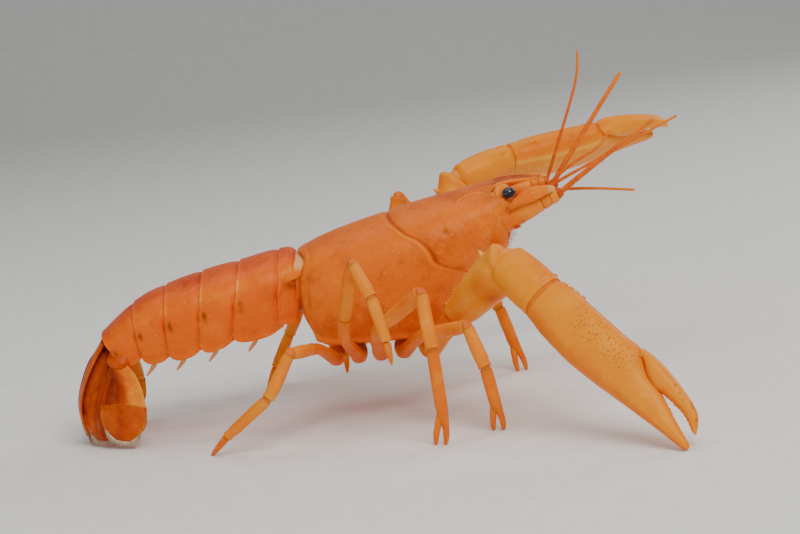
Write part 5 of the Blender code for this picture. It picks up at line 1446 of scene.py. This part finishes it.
# The breast plate with its stubs, and the soft skin at the end of each
chest = [link([(-15.6, 0, 15.6), (-11.0, 0, 15.2), (-1.0, 0, 15.0), (5.4, 0, 16.2), (6.4, 0, 16.6)],
              (5.4, 7.1, 7.2, 6.2, 4.8), (1.4, 1.7, 1.8, 1.7, 1.4), UP, 60, 40, (0.8, 0.8),
              lambda s, t: 0.1 * np.sin(60 * s) * facing(t, 270, 60),
              lambda s, t: {"tone": 0.55, "skin": 0.35})]
for side in SIDES.values():
    for x, radius in [*((x, 1.6) for x in COXA_X.values()), (CLAW_COXA_X, 2.2)]:
        end, out = stub(x, side)
        sizes = (radius * 0.8, radius, radius * 0.86)
        chest.append(link([end - out * 4.6, end - out * 2.3, end], sizes, sizes, UP, 36, 28, (0.3, 0.35),
                          tube_lift, tube_paint))
        chest.append(joint_skin(end + out * GAP / 2, out, out, radius * 0.72, UP))
make_piece("breast", chest, leg_stuff, ["chest"])
plant_bristles("leg_bristles", leg_bristles, 0.03)

# Stand and view
# The model stands on a pale floor that sweeps up into the backdrop in one curve. The camera
# looks at its right side from a little above, tilted as the view is, through a long lens.
FLOOR_HALF_WIDTH, FLOOR_FRONT, FLOOR_BACK, FLOOR_TOP, SWEEP, SWEEP_STEPS = 1.6, -1.2, 0.55, 1.6, 0.35, 24
profile = [(FLOOR_FRONT, 0.0), (FLOOR_BACK, 0.0)]
for step in range(1, SWEEP_STEPS + 1):
    turn = math.radians(90 * step / SWEEP_STEPS)
    profile.append((FLOOR_BACK + SWEEP * math.sin(turn), SWEEP * (1 - math.cos(turn))))
profile.append((FLOOR_BACK + SWEEP, FLOOR_TOP))
floor_mesh = bpy.data.meshes.new("floor")
floor_points = [(x, y, z) for y, z in profile for x in (-FLOOR_HALF_WIDTH, FLOOR_HALF_WIDTH)]
floor_faces = [(2 * i, 2 * i + 1, 2 * i + 3, 2 * i + 2) for i in range(len(profile) - 1)]
floor_mesh.from_pydata(floor_points, [], floor_faces)
floor_mesh.shade_smooth()
floor = bpy.data.objects.new("floor", floor_mesh)
bpy.context.scene.collection.objects.link(floor)
paper, nodes, place = new_finish("pale paper")
nodes.surface(nodes.ramp(nodes.cloud(place, 0.26, 3.0), (0.3, 0.88, 0.875, 0.865), (0.7, 0.92, 0.915, 0.905)),
              {"Roughness": 0.75})
floor_mesh.materials.append(paper)

world = bpy.data.worlds.new("soft room")
bpy.context.scene.world = world
world.use_nodes = True
world.node_tree.nodes["Background"].inputs["Color"].default_value = (0.95, 0.97, 1.0, 1)
world.node_tree.nodes["Background"].inputs["Strength"].default_value = 0.16

# Name, place, size, strength and colour of each soft box, all turned to the middle of the model
AIM = Vector((0.0, 0.0, 0.025))
BOXES = (
    ("key box", (0.16, -0.34, 0.42), (0.34, 0.26), 2.1, (1.0, 0.975, 0.94)),
    ("front fill", (-0.42, -0.40, 0.20), (0.40, 0.40), 0.62, (0.98, 0.98, 0.97)),
    ("top box", (-0.05, 0.10, 0.50), (0.50, 0.30), 0.9, (1.0, 0.99, 0.96)),
    ("rim box", (0.40, 0.30, 0.26), (0.22, 0.30), 0.7, (1.0, 0.98, 0.94)),
)
for name, spot, size, power, colour in BOXES:
    lamp = bpy.data.lights.new(name, "AREA")
    lamp.shape = "RECTANGLE"
    lamp.size, lamp.size_y = size
    lamp.energy = power
    lamp.color = colour
    holder = bpy.data.objects.new(name, lamp)
    holder.location = spot
    holder.rotation_euler = (AIM - Vector(spot)).to_track_quat("-Z", "Y").to_euler()
    bpy.context.scene.collection.objects.link(holder)

LOOK_DOWN, TILT = math.radians(10.0), math.radians(6.5)
LENS, FILM, PIXELS, SCALE = 100.0, 36.0, 800, 5.71
target = (Vector((0.0, 0.0, 25.0)) - Vector(CENTRE)) * MM
back = Vector((0.0, -math.cos(LOOK_DOWN), math.sin(LOOK_DOWN)))
level, upright = Vector((1.0, 0.0, 0.0)), Vector((0.0, math.sin(LOOK_DOWN), math.cos(LOOK_DOWN)))
right = level * math.cos(TILT) - upright * math.sin(TILT)
upward = level * math.sin(TILT) + upright * math.cos(TILT)
lens = bpy.data.cameras.new("camera")
lens.lens, lens.sensor_width = LENS, FILM
lens.clip_start, lens.clip_end = 0.01, 20.0
camera = bpy.data.objects.new("camera", lens)
camera.matrix_world = Matrix((right, upward, back)).transposed().to_4x4()
camera.location = target + back * (LENS / FILM * PIXELS / SCALE * MM)
bpy.context.scene.collection.objects.link(camera)
bpy.context.scene.camera = camera
